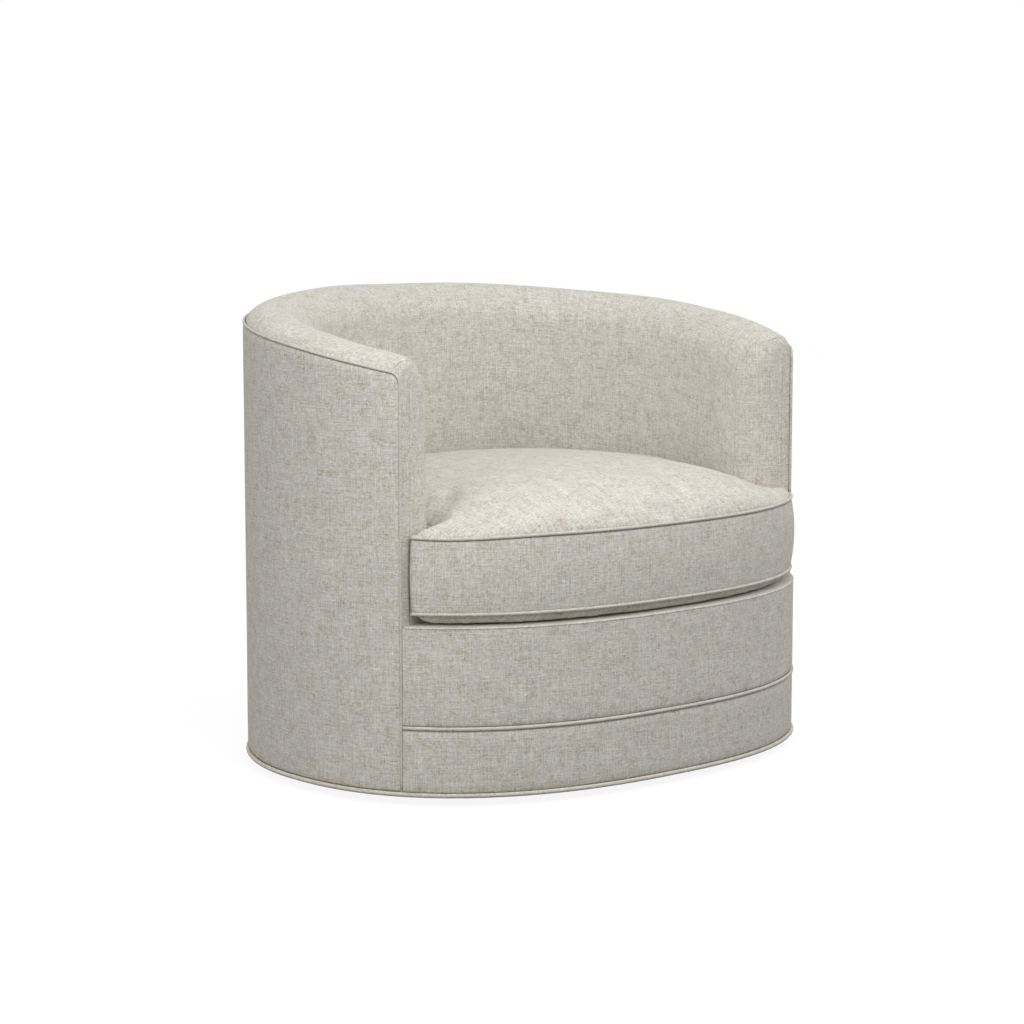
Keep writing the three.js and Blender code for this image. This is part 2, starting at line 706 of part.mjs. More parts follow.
// The edge welt climbs one arm's front, follows the top seam round the back and comes down the other
const rim_route = turnsAround(0).map((turn) => {
  const drop = roundDrop(lengthPast(turn), arm_top_radius, arm_top_radius);
  return outline(turn, edge_welt_radius, seamHeight(turn) - drop);
});
const drops = [deck_height, band_welt_height, panel_foot];
const down = (from) => drops.map((z) => from.clone().setZ(z));
const rim_end = rim_route[rim_route.length - 1];
const edge_route = [...down(rim_route[0]).reverse(), ...rim_route, ...down(rim_end)];
function edgeRings() {
  return edge_route.map((p, k) => {
    const before = edge_route[Math.max(0, k - 1)];
    const after = edge_route[Math.min(edge_route.length - 1, k + 1)];
    const along = after.clone().sub(before).normalize();
    const spoke = p.clone().sub(new THREE.Vector3(0, widest_y, p.z));
    const outward = spoke.addScaledVector(along, -spoke.dot(along)).normalize();
    const up = along.clone().cross(outward);
    return cordSection(0, 0, edge_welt_radius).map(([x, y]) =>
      p.clone().addScaledVector(outward, x).addScaledVector(up, y));
  });
}
const cord_shape = cordSection(0, 0, edge_welt_radius).map(([x, y]) => new THREE.Vector2(x, y));
add("edge_welt", loft(edgeRings(), false, cord_shape), linen_welt);

// The black cloth under the frame, with a round hole for the foot
const dust_hole_radius = board_radius + dust_cover_gap;
const dust_top = ring_foot - seam_gap;
add("dust_cover", loft(hidden_turns.map((turn) => {
  const rim = outline(turn, dust_cover_inset);
  const hole = rim.clone().normalize().multiplyScalar(dust_hole_radius);
  const at = (p, z) => p.clone().setZ(z);
  return [at(rim, dust_top - dust_cover_thickness), at(rim, dust_top), at(hole, dust_top),
    at(hole, dust_top - dust_cover_thickness)];
}), true), cambric);

// The cushion: each ring of corners is the plan drawn in by a depth, or shrunk towards the middle
function cushionPlan(depth) {
  return seatPlan(
    cushion_front_inset + depth,
    cushion_arm_gap + depth,
    cushion_wall_gap + depth,
    Math.max(cushion_ear_radius - depth, cushion_least_radius),
    hidden_step_angle,
  );
}
const cushion_edge = 2 * cushion_welt_radius + seam_gap;
const edge_plan = cushionPlan(cushion_edge);
const cushion_middle = new THREE.Vector2(0, widest_y - cushion_middle_advance);
const cushion_foot = deck_height + seam_gap;
const shoulder_angles = [0, 35, 65, 90];
const tip_share = 0.02;
const dome_shares = [0.5, tip_share];
// How much lower the cushion lies towards its ears, as a share of its crown
function droopShare(p) {
  const aside = THREE.MathUtils.smoothstep(Math.abs(p.x), cushion_droop_start, cushion_droop_end);
  const ahead = THREE.MathUtils.smoothstep(-p.y, -widest_y, -arm_y);
  return cushion_droop_share * aside * ahead;
}
// Rings of a cushion face from its welt inwards: a rounded shoulder, longer in front, then a shallow dome
function cushionFace(welt_height, rise, reach, front_reach, dome, lift) {
  const shoulder = shoulder_angles.map((angle) => {
    const share = 1 - Math.cos(angle * radian);
    const near = cushionPlan(cushion_edge + reach * share);
    const plan = near.map((p) => {
      const ahead = THREE.MathUtils.clamp((arm_y - p.y) / (front_depth + arm_y), 0, 1);
      return cushion_middle.clone().lerp(p, 1 - (ahead * share * (front_reach - reach)) / front_depth);
    });
    return { plan, height: rise * Math.sin(angle * radian) };
  });
  const inner_plan = shoulder[shoulder.length - 1].plan;
  const crown = dome_shares.map((share) => ({
    plan: inner_plan.map((p) => cushion_middle.clone().lerp(p, share)),
    height: rise + dome * (1 - share ** 2),
  }));
  return [...shoulder, ...crown].map(({ plan, height }) => plan.map((p) =>
    new THREE.Vector3(p.x, p.y, welt_height + height * (1 - droopShare(p)) + lift)));
}
const topFace = (lift) =>
  cushionFace(
    cushion_top_welt_height,
    cushion_shoulder,
    cushion_shoulder_reach,
    cushion_front_reach,
    cushion_dome,
    lift,
  );
const belly_rise = cushion_foot - cushion_bottom_welt_height;
const bellyFace = (lift) =>
  cushionFace(cushion_bottom_welt_height, belly_rise, cushion_belly_reach, cushion_belly_reach, 0, lift);
const half_cloth = cover_thickness / 2;
add("cushion_top_panel", loft([
  ...topFace(half_cloth).reverse(),
  ...topFace(-half_cloth),
], false, edge_plan), linen);
add("cushion_bottom_panel", loft([
  ...bellyFace(cover_thickness).reverse(),
  ...bellyFace(0),
], false, edge_plan), linen);

// The boxing swells a little at the front and is drawn in along the back, where the zip is
const boxing_plan = cushionPlan(cushion_welt_radius);
function boxingRing(depth, z) {
  const rise = (z - cushion_bottom_welt_height) / (cushion_top_welt_height - cushion_bottom_welt_height);
  const bow = 4 * rise * (1 - rise);
  return boxing_plan.map((place, k) => {
    const ahead = place.y < arm_y;
    const behind = place.y > widest_y;
    const pull = (ahead ? -cushion_front_swell : 0) + (behind ? cushion_back_tuck : 0);
    const p = cushionPlan(cushion_welt_radius + depth + pull * bow)[k];
    return new THREE.Vector3(p.x, p.y, z);
  });
}
const welt_reach = cushion_welt_radius + seam_gap;
const boxing_foot = cushion_bottom_welt_height + welt_reach;
const boxing_top = cushion_top_welt_height - welt_reach;
const boxing_middle = (boxing_foot + boxing_top) / 2;
const zip_reach = zip_height / 2 + seam_gap;
const boxing_heights = [boxing_foot, boxing_middle - zip_reach, boxing_middle + zip_reach, boxing_top];
const boxing_inside = boxing_heights.map((z) => boxingRing(cover_thickness, z));
const boxing_outside = boxing_heights.map((z) => boxingRing(0, z)).reverse();
add("cushion_boxing", loft([...boxing_inside, ...boxing_outside], true), linen);
for (const [name, height] of [["top", cushion_top_welt_height], ["bottom", cushion_bottom_welt_height]]) {
  const shape = cordSection(0, 0, cushion_welt_radius);
  const rings = cushionPlan(0).map((_, k) => shape.map(([inset, rise]) => {
    const p = cushionPlan(cushion_welt_radius + inset)[k];
    return new THREE.Vector3(p.x, p.y, height + rise);
  }));
  add("cushion_" + name + "_welt", loft(rings, true), linen_welt);
}
const core_side = cover_thickness + seam_gap;
add("cushion_core", loft([
  ...bellyFace(core_side).reverse(),
  ...boxing_heights.map((z) => boxingRing(core_side, z)),
  ...topFace(-half_cloth - seam_gap),
], false, edge_plan), foam);

// The zip along the back boxing, and its slider, which runs round the boxing's middle
const boxing_back = Math.max(...boxingRing(0, boxing_middle).map((p) => p.y));
const zip_inset = back_y - boxing_back - seam_gap - zip_thickness;
const zip_foot = boxing_middle - zip_height / 2;
const zip_start = half_circle_degrees - zip_half_angle;
const zip_turns = turnsBetween(zip_start, full_circle_degrees - zip_start, hidden_step_angle);
add("cushion_zip", swept(zip_turns, () =>
  box_section(zip_inset, zip_thickness, zip_foot, zip_foot + zip_height)), steel);
const slider_outer = back_y - zip_inset + seam_gap + slider_thickness;
add("zip_slider", new THREE.BoxGeometry(slider_length, slider_thickness, slider_height), steel, {
  y: slider_outer - slider_thickness / 2,
  z: boxing_middle,
});

export default chair;
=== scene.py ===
# Swivel barrel chair: a round upholstered tub with one loose seat cushion, on a hidden swivel.
# Metres, +Z up, the front faces -Y, the swivel's axis is the Z axis.
import math
import bmesh
import bpy
import numpy as np
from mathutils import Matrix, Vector
from mathutils.geometry import delaunay_2d_cdt


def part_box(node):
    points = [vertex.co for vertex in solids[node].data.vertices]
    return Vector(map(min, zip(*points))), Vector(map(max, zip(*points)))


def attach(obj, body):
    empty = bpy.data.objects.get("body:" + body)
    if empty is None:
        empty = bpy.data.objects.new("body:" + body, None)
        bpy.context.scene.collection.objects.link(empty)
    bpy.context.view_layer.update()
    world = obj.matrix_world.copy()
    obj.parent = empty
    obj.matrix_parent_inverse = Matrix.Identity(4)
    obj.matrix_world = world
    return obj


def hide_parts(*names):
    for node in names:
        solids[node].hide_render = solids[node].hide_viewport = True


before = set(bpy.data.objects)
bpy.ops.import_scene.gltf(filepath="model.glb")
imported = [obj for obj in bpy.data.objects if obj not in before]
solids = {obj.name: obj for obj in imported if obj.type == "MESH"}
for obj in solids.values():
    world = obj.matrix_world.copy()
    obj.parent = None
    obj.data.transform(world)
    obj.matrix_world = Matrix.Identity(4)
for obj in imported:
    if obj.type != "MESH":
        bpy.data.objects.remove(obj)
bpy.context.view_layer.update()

# The camera stands ahead of the chair and to its left, above the cushion, with a long lens.
camera = bpy.data.objects.new("camera", bpy.data.cameras.new("camera"))
camera.location = (-2.7183, -3.1978, 0.9166)
camera.rotation_euler = (math.radians(82.5563), 0, math.radians(-40.335))
camera.data.lens = 94.685
camera.data.sensor_width = 36
bpy.context.collection.objects.link(camera)
bpy.context.scene.camera = camera
bpy.context.scene.view_settings.view_transform = "Standard"

# The studio: a floor that keeps the chair's soft shadow, and a white surround for camera, gloss and
# glass rays. The chair is lit by a soft dome, stronger overhead, and by three round lamps.
def node(tree, kind, inputs=None, **settings):
    """A shader node, each of whose inputs is a fixed value or another node's output"""
    new = tree.nodes.new("ShaderNode" + kind)
    for key, value in settings.items():
        setattr(new, key, value)
    wire(tree, new, inputs or {})
    return new


def wire(tree, target, inputs):
    for key, value in inputs.items():
        if isinstance(value, bpy.types.NodeSocket):
            tree.links.new(value, target.inputs[key])
        else:
            target.inputs[key].default_value = value


def seen_directly(tree):
    """1 for camera, gloss and glass rays, and 0 for the rays that carry light to the chair"""
    rays = node(tree, "LightPath").outputs
    straight = node(tree, "Math", {0: rays["Is Camera Ray"], 1: rays["Is Glossy Ray"]})
    return node(tree, "Math", {0: straight.outputs[0], 1: rays["Is Transmission Ray"]},
                use_clamp=True).outputs[0]


world = bpy.data.worlds.new("studio")
bpy.context.scene.world = world
world.use_nodes = True
sky = world.node_tree
sky.nodes.clear()
upward = node(sky, "SeparateXYZ", {0: node(sky, "TexCoord").outputs["Generated"]})
dome = node(sky, "MapRange", {"Value": upward.outputs["Z"], "From Min": 0.0, "From Max": 1.0,
                              "To Min": 0.545, "To Max": 1.10})
dome_light = node(sky, "Background", {"Strength": dome.outputs["Result"]})
surround = node(sky, "Background", {"Strength": 1.0, "Color": (1, 1, 1, 1)})
studio_mix = node(sky, "MixShader", {0: seen_directly(sky), 1: dome_light.outputs[0],
                                     2: surround.outputs[0]})
node(sky, "OutputWorld", {0: studio_mix.outputs[0]})

seat_centre = Vector((0, 0, 0.45))
for name, place, size, power in (("key", (-0.75, -1.35, 1.45), 1.0, 10.2),
                                 ("side", (-3, -0.5, 1.4), 2.0, 19.6),
                                 ("fill", (1.9, -1.5, 1.8), 1.4, 15.6)):
    lamp = bpy.data.objects.new(name, bpy.data.lights.new(name, "AREA"))
    lamp.data.shape = "DISK"
    lamp.data.size = size
    lamp.data.energy = power
    lamp.location = place
    lamp.rotation_euler = (seat_centre - lamp.location).to_track_quat("-Z", "Y").to_euler()
    bpy.context.collection.objects.link(lamp)

floor_mesh = bpy.data.meshes.new("floor")
floor_mesh.from_pydata([(-8, -8, 0), (8, -8, 0), (8, 8, 0), (-8, 8, 0)], [], [(0, 1, 2, 3)])
floor = bpy.data.objects.new("floor", floor_mesh)
bpy.context.collection.objects.link(floor)
floor_paint = bpy.data.materials.new("studio_floor")
floor_paint.use_nodes = True
paint = floor_paint.node_tree
coat = paint.nodes["Principled BSDF"]
wire(paint, coat, {"Base Color": (0.13, 0.13, 0.13, 1), "Roughness": 1.0,
                   "Specular IOR Level": 0.0})
lift = node(paint, "Math", {0: seen_directly(paint), 1: 0.90}, operation="MULTIPLY")
glow = node(paint, "Emission", {"Color": (1, 1, 1, 1), "Strength": lift.outputs[0]})
both = node(paint, "AddShader", {0: coat.outputs[0], 1: glow.outputs[0]})
wire(paint, paint.nodes["Material Output"], {"Surface": both.outputs[0]})
floor_mesh.materials.append(floor_paint)

# Foot: a round plywood board, cut and sanded, on four moulded nylon glides. Each glide's nail is
# driven up into the board.
def finish(name, color, roughness, metallic=0.0):
    material = bpy.data.materials.new(name)
    material.use_nodes = True
    wire(material.node_tree, material.node_tree.nodes["Principled BSDF"],
         {"Base Color": (*color, 1), "Roughness": roughness, "Metallic": metallic})
    return material


def shaded(tree, share, dark, pale, low=0.0, high=1.0):
    """A colour that goes from dark to pale as share goes from low to high"""
    ramp = node(tree, "ValToRGB", {"Fac": share})
    for stop, place, color in zip(ramp.color_ramp.elements, (low, high), (dark, pale)):
        stop.position = place
        stop.color = (*color, 1)
    return ramp.outputs["Color"]


def relief(tree, height, strength, depth):
    bump = node(tree, "Bump", {"Height": height, "Strength": strength, "Distance": depth})
    return bump.outputs["Normal"]


def speckled(material, size, stretch, dark, pale, detail=4.0, roughness=None, bump=0.0):
    """Cloudy grain in the row frame: dark to pale, stretched along the axes, with its relief"""
    tree = material.node_tree
    frame_place = node(tree, "TexCoord").outputs["Object"]
    place = node(tree, "Mapping", {"Vector": frame_place, "Scale": stretch}).outputs["Vector"]
    noise = node(tree, "TexNoise", {"Vector": place, "Scale": 1 / size, "Detail": detail})
    grain = noise.outputs["Fac"]
    look = {"Base Color": shaded(tree, grain, dark, pale, 0.3, 0.7)}
    if roughness:
        low, high = roughness
        rough = node(tree, "MapRange", {"Value": grain, "To Min": low, "To Max": high})
        look["Roughness"] = rough.outputs["Result"]
    if bump:
        look["Normal"] = relief(tree, grain, bump, 0.0005)
    wire(tree, tree.nodes["Principled BSDF"], look)
    return material


def finished(material, *names):
    for name in names:
        for place in solids[name].material_slots:
            place.material = material


nylon = speckled(finish("nylon", (0.03, 0.03, 0.032), 0.45), 0.0012, (1, 1, 1),
                 (0.022, 0.022, 0.024), (0.042, 0.042, 0.044), roughness=(0.38, 0.6), bump=0.25)
finished(nylon, "glide_1", "glide_2", "glide_3", "glide_4")
plywood = speckled(finish("plywood", (0.60, 0.42, 0.24), 0.62), 0.03, (1, 9, 30),
                   (0.46, 0.30, 0.15), (0.68, 0.50, 0.30), roughness=(0.55, 0.75), bump=0.3)
finished(plywood, "base_board")

# Swivel: two pressed, zinc-plated plates with ball races, the balls in their cage between them, one
# pivot rivet, and four bolts up into the cross rails.
plated_steel = speckled(finish("plated_steel", (0.55, 0.56, 0.58), 0.38, 1.0), 0.004, (1, 1, 1),
                        (0.48, 0.49, 0.51), (0.62, 0.63, 0.65), roughness=(0.3, 0.5), bump=0.1)
finished(plated_steel, "swivel_lower_plate", "swivel_upper_plate", "swivel_pivot", "ball_cage",
         "swivel_bolt_1", "swivel_bolt_2", "swivel_bolt_3", "swivel_bolt_4")

# Frame: a round bottom ring, cross rails for the swivel, posts, a seat ring and bent top rails, of
# glued and screwed plywood and hardwood, with a thin bent lining inside.
finished(plywood, "bottom_ring", "front_rail", "seat_ring", "arm_rail_right", "arm_rail_left",
         "back_rail", "inside_lining")
hardwood = speckled(finish("hardwood", (0.55, 0.34, 0.17), 0.6), 0.02, (2, 22, 1.5),
                    (0.40, 0.23, 0.10), (0.62, 0.41, 0.22), roughness=(0.5, 0.72), bump=0.35)
finished(hardwood, "front_cross_rail", "back_cross_rail", "arm_post_left", "arm_post_right",
         "side_post_left", "side_post_right", "back_post_left", "back_post_right", "middle_post")

# Springs: five zigzag springs bent from bare steel wire, clipped to the front rail and to the back
# of the seat ring.
spring_wire = speckled(finish("spring_wire", (0.14, 0.145, 0.155), 0.4, 1.0), 0.003, (1, 1, 1),
                       (0.10, 0.10, 0.11), (0.20, 0.205, 0.215), roughness=(0.3, 0.55))
finished(spring_wire, *[f"seat_spring_{k}" for k in range(1, 6)])

# Spring cloth: coarse woven cloth laid over the springs and tacked round the seat. Its edge, like
# every layer's, follows the shell: an oval that is deeper behind than in front.
half_width = 0.450
front_depth = 0.350
back_depth = 0.393
front_oval = 2.4
back_oval = 2.0
arm_angle = 63.5
seam_gap = 0.0003
frame_inset = 0.0047
widest_y = (front_depth - back_depth) / 2
rim_depth = 0.116
arm_corner_radius = 0.084
arm_corner_length = 0.110
arm_skew = math.tan(math.radians(28))
arm_skew_length = 0.140


def outline(turn, inset=0.0):
    """A place on the shell, turn degrees round from the front and inset into the wall"""
    turn = np.radians(np.asarray(turn, float))
    across, ahead = np.sin(turn), -np.cos(turn)
    depth = np.where(ahead < 0, front_depth, back_depth)
    power = np.where(ahead < 0, front_oval, back_oval)
    reach = (np.abs(across / half_width) ** power + np.abs(ahead / depth) ** power) ** (-1 / power)
    x, y = reach * across, reach * ahead
    out_x = np.sign(x) * np.abs(x / half_width) ** (power - 1) / half_width
    out_y = np.sign(y) * np.abs(y / depth) ** (power - 1) / depth
    size = np.hypot(out_x, out_y)
    return np.stack([x - inset * out_x / size, y - inset * out_y / size + widest_y], -1)


length_per_degree = np.hypot(*(outline(arm_angle + 1) - outline(arm_angle)))


def unit(ways):
    return ways / np.linalg.norm(ways, axis=-1, keepdims=True)


def turn_past(length):
    """The turn that lies a length behind the right arm's face"""
    return arm_angle + np.asarray(length, float) / length_per_degree


def length_past(turn):
    return (np.minimum(turn, 360 - turn) - arm_angle) * length_per_degree


def ahead_at(turn):
    """The way along the shell towards the front"""
    return unit(outline(turn - 0.5) - outline(turn + 0.5))


def slide(inset):
    """How far forward the arm's slanting face stands at an inset"""
    return np.maximum(0, inset - frame_inset) * arm_skew


def wall_place(turn, inset):
    """A place in the padded wall, which is drawn forward near an arm's face"""
    turn, inset = np.broadcast_arrays(np.asarray(turn, float), np.asarray(inset, float))
    side = np.where(turn > 180, -1, 1)
    share = np.clip(1 - length_past(turn) / arm_skew_length, 0, 1) ** 2
    return outline(turn, inset) + ahead_at(turn) * (side * slide(inset) * share)[..., None]


def arm_place(length, inset):
    """A place before the right arm's face, by the length behind it"""
    inset = np.asarray(inset, float)
    return outline(arm_angle, inset) + ahead_at(arm_angle) * (slide(inset) - length)[..., None]


def seat_plan(front_inset, arm_gap, wall_gap, ear_radius, spacing=0.006):
    """The edge of a layer between the arms, with an ear before each arm, cut into even steps"""
    ear_length = -arm_gap - ear_radius
    front_turns = np.arange(0, turn_past(ear_length - slide(front_inset)) - 1.5, 1.0)
    half = [outline(turn, front_inset) for turn in front_turns]
    for angle in np.radians(np.arange(0, 91, 15)):
        length = ear_length + ear_radius * math.sin(angle)
        half.append(arm_place(length, front_inset + ear_radius * (1 - math.cos(angle))))
    for angle in np.radians(np.arange(6, 85, 6)):
        length = arm_corner_length - (arm_corner_length + arm_gap) * math.cos(angle)
        corner = rim_depth - arm_corner_radius + (arm_corner_radius + wall_gap) * math.sin(angle)
        inset = max(front_inset + ear_radius, corner)
        half.append(arm_place(length, inset) if length < 0
                    else wall_place(turn_past(length), inset))
    wall_turns = np.arange(turn_past(arm_corner_length), 180, 1.5)
    half = np.array(half + [wall_place(turn, rim_depth + wall_gap) for turn in wall_turns])
    ring = np.concatenate([half, half[:0:-1] * (-1, 1)])
    steps = np.linalg.norm(np.roll(ring, -1, 0) - ring, axis=1)
    along = np.concatenate([[0], np.cumsum(steps)])
    count = 2 * round(along[-1] / spacing / 2)
    wanted = np.arange(count) / count * along[-1]
    closed = np.concatenate([ring, ring[:1]])
    return np.stack([np.interp(wanted, along, closed[:, k]) for k in range(2)], -1)


def depth_inside(points, plan):
    """How deep each point lies inside a plan, and the place on its edge that is nearest"""
    run = np.roll(plan, -1, 0) - plan
    offset = points[:, None] - plan
    share = np.clip((offset * run).sum(-1) / (run * run).sum(-1), 0, 1)
    edge = plan + share[..., None] * run
    gaps = np.linalg.norm(points[:, None] - edge, axis=-1)
    nearest = gaps.argmin(1)
    far = np.roll(plan, -1, 0)
    level = points[:, None, 1]
    crossed = (plan[:, 1] > level) != (far[:, 1] > level)
    rise = np.where(run[:, 1] == 0, 1e-9, run[:, 1])
    meet = plan[:, 0] + (level - plan[:, 1]) / rise * run[:, 0]
    inside = (crossed & (points[:, None, 0] < meet)).sum(1) % 2 == 1
    gap = gaps[np.arange(len(points)), nearest]
    return np.where(inside, gap, -gap), edge[np.arange(len(points)), nearest]


def cut_cloth(plan, spacing):
    """Points over a plan and the triangles between them; the plan's own points come first"""
    low, high = plan.min(0), plan.max(0)
    row = np.arange(low[1], high[1], spacing * 0.87)
    column = np.arange(low[0], high[0], spacing)
    across, along = np.meshgrid(column, row)
    across = across + (np.arange(len(row)) % 2 * spacing / 2)[:, None]
    grid = np.stack([across.ravel(), along.ravel()], -1)
    depth, _ = depth_inside(grid, plan)
    points = np.concatenate([plan, grid[depth > spacing * 0.55]])
    corners, _, faces, *_ = delaunay_2d_cdt(
        [tuple(p) for p in points], [], [tuple(range(len(plan)))], 1, 1e-7)
    return np.array([tuple(p) for p in corners]), [tuple(face) for face in faces]


def ringed(low, high, count):
    """Faces between two closed rings of corners that start at low and at high"""
    return [(low + k, low + (k + 1) % count, high + (k + 1) % count, high + k)
            for k in range(count)]


def made(name, corners, faces, material, cut=None):
    """A piece from its corners and faces, with its lay on the bolt of cloth in metres"""
    mesh = bpy.data.meshes.new(name)
    mesh.from_pydata([tuple(p) for p in corners], [], faces)
    lay = mesh.uv_layers.new(name="cloth")
    loops = [loop.vertex_index for loop in mesh.loops]
    cut = np.asarray(corners)[:, :2] if cut is None else np.asarray(cut, float)
    lay.data.foreach_set("uv", cut[loops].ravel())
    mesh.polygons.foreach_set("use_smooth", [True] * len(mesh.polygons))
    mesh.materials.append(material)
    piece = bpy.data.objects.new(name, mesh)
    bpy.context.collection.objects.link(piece)
    return piece


def closed_body(piece):
    """Turns a closed piece's faces outwards"""
    shell = bmesh.new()
    shell.from_mesh(piece.data)
    bmesh.ops.recalc_face_normals(shell, faces=shell.faces)
    shell.to_mesh(piece.data)
    shell.free()


def thicken(piece, thickness, offset=-1.0):
    solid = piece.modifiers.new("thickness", "SOLIDIFY")
    solid.thickness = thickness
    solid.offset = offset
    return piece


def placed(piece, body, slot, *nodes):
    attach(piece, body)
    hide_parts(*nodes)
    return piece


def woven(name, dark, pale, threads, roughness=0.9, raised=0.6):
    """Plain weave of coarse round threads, threads to the metre, each crossing over the next"""
    material = finish(name, pale, roughness)
    tree = material.node_tree
    place = node(tree, "UVMap", uv_map="cloth").outputs["UV"]
    ridges = {"Vector": place, "Scale": threads / 6.283 * 2, "Distortion": 1.2, "Detail": 2.0,
              "Detail Scale": 3.0}
    warp, weft = [node(tree, "TexWave", ridges, bands_direction=direction).outputs["Fac"]
                  for direction in "XY"]
    cross = node(tree, "Math", {0: warp, 1: weft}, operation="MULTIPLY").outputs[0]
    wire(tree, tree.nodes["Principled BSDF"], {"Base Color": shaded(tree, cross, dark, pale),
                                               "Normal": relief(tree, cross, raised, 0.0006)})
    return material


burlap = woven("burlap", (0.20, 0.13, 0.06), (0.52, 0.40, 0.22), 420)
edge_reach = 0.0025
spring_cloth_foot = 0.2184
spring_cloth_thickness = 0.0008
spring_pitch = 0.096
spring_sag = 0.0003
spring_cloth_plan = seat_plan(0.030, edge_reach, edge_reach, 0.004, 0.012)
points, faces = cut_cloth(spring_cloth_plan, 0.020)
sag = spring_sag * (1 - np.cos(2 * math.pi * points[:, 0] / spring_pitch))
level = spring_cloth_foot + spring_cloth_thickness + sag / 2
spring_cloth = thicken(made("spring_cloth_sheet", np.c_[points, level], faces, burlap),
                       spring_cloth_thickness, 1.0)
placed(spring_cloth, "chair", "burlap", "spring_cloth")

# Deck pad: a slab of foam, cut to the space between the arms and eased along its edges. It lies on
# the spring cloth and the deck cloth holds it down.
foam = speckled(finish("foam", (0.84, 0.74, 0.46), 0.95), 0.0016, (1, 1, 1),
                (0.74, 0.62, 0.34), (0.90, 0.81, 0.54), detail=6.0, bump=0.7)
deck_pad_foot = 0.2201
deck_top = 0.259
deck_cloth_thickness = 0.0023


def slab(name, plan, foot, top, round_over, material):
    """A padded slab with its upper and lower edges eased"""
    points, faces = cut_cloth(plan, 0.022)
    rim = len(plan)
    depth, edge = depth_inside(points, plan)
    depth[:rim] = 0
    short = 1 - np.clip(depth / round_over / 2, 0, 1)
    eased = round_over * (1 - np.sqrt(np.clip(1 - short ** 2, 0, 1)))
    upper = np.c_[points, top - eased]
    lower = np.c_[points, foot + eased]
    count = len(points)
    skirt = [face[::-1] for face in ringed(0, count, rim)]
    under = [tuple(count + k for k in face[::-1]) for face in faces]
    return made(name, np.concatenate([upper, lower]), [*faces, *skirt, *under], material)


deck_pad = slab("deck_pad_foam", seat_plan(frame_inset, edge_reach, edge_reach, 0.004, 0.012),
                deck_pad_foot, deck_top - deck_cloth_thickness - seam_gap, 0.006, foam)
placed(deck_pad, "chair", "foam", "deck_pad")

# Arm and back pads: foam bent over the top rails and down the inside of the frame, in three pieces
# that meet at the back posts.
rim_front_height = 0.619
rim_rise = 0.076
rim_swell_share = 0.70
rim_ease_share = 0.68
crown_rise = 0.0206
crown_inset = 0.041
crown_front_inset = 0.013
cover_lap = 0.004
roll_drop = 0.056
roll_front_drop = 0.080
wall_lean = 0.006
arm_top_radius = 0.014
arm_y = float(outline(arm_angle)[1])
back_y = widest_y + back_depth
pad_inset = 0.0373
rail_drop = 0.014
pad_joint_angle = 120
cover_thickness = 0.002
tuck_depth = 0.026


def seam_height(turn):
    """The top seam climbs from the arms' fronts to the back"""
    share = (outline(turn)[..., 1] - arm_y) / (back_y - arm_y)
    swell = share * (1 - share) * (rim_swell_share - rim_ease_share * share)
    return rim_front_height + rim_rise * (share + swell)


def round_drop(past, length, depth):
    """How far a rounded corner falls short of square"""
    short = np.clip(1 - past / length, 0, 1)
    return depth * (1 - np.sqrt(1 - short ** 2))


def rim_face(turn, angle, depth=0.0, down=0.0):
    """The padded wall: angle 180 at the outer seam, 90 on the crown, 0 where the roll meets the
    wall, and then down the wall by a share of the way to its foot"""
    past = length_past(turn)
    wall = rim_depth - round_drop(past, arm_corner_length, arm_corner_radius)
    seam = seam_height(turn) - round_drop(past, arm_top_radius, arm_top_radius)
    crown = crown_inset - round_drop(past, arm_corner_length, crown_inset - crown_front_inset)
    roll = roll_drop + round_drop(past, arm_corner_length, roll_front_drop - roll_drop)
    lean = np.minimum(wall_lean, (wall - crown) / 2)
    bend = np.radians(angle)
    outer = np.asarray(angle) > 90
    reach = np.where(outer, crown - frame_inset - depth, wall - lean - crown - depth)
    inset = crown + reach * np.cos(bend) + down * lean
    height = np.where(outer, seam - cover_lap + (crown_rise + cover_lap - depth) * np.sin(bend),
                      seam + crown_rise - roll + (roll - depth) * np.sin(bend))
    height = height + down * (deck_top - tuck_depth - height)
    place = wall_place(turn, inset)
    return np.concatenate([place, np.broadcast_to(height, place.shape[:-1])[..., None]], -1)


def quilt(rows, columns, row_closed=False, column_closed=False):
    """Faces between a grid of corners, and round it where it is closed"""
    index = np.arange(rows * columns).reshape(rows, columns)
    if row_closed:
        index = np.concatenate([index, index[:1]])
    if column_closed:
        index = np.concatenate([index, index[:, :1]], 1)
    sides = [index[:-1, :-1], index[:-1, 1:], index[1:, 1:], index[1:, :-1]]
    return [tuple(face) for face in np.stack(sides, -1).reshape(-1, 4).tolist()]


def wall_pad(name, turns):
    """A bent pad: over the rim, down the inside to the springs, and back up along the frame"""
    depth = cover_thickness + seam_gap
    bends = [(angle, 0.0) for angle in (180, 160, 140, 120, 105, 90, 75, 60, 45, 30, 15, 0)]
    bends += [(0, share) for share in (0.25, 0.5, 0.75, 1.0)]
    outside = np.array([rim_face(turns, angle, depth, down) for angle, down in bends])
    floor_level = np.full(len(turns), spring_cloth_foot)
    rail_top = seam_height(turns) - rail_drop + seam_gap
    foot = np.c_[outside[-1][:, :2], floor_level]
    heel = np.c_[wall_place(turns, pad_inset), floor_level]
    corner = np.c_[wall_place(turns, pad_inset), rail_top]
    under_rim = np.c_[wall_place(turns, 0.007), rail_top]
    grid = np.concatenate([outside, [foot, heel, corner, under_rim]])
    rows, columns = grid.shape[:2]
    faces = quilt(rows, columns, row_closed=True)
    faces += [tuple(k * columns for k in range(rows))]
    faces += [tuple(k * columns + columns - 1 for k in range(rows))[::-1]]
    piece = made(name, grid.reshape(-1, 3), faces, foam)
    piece.data.polygons.foreach_set("use_smooth", [len(face) == 4 for face in faces])
    placed(piece, "chair", "foam", name.replace("_foam", ""))


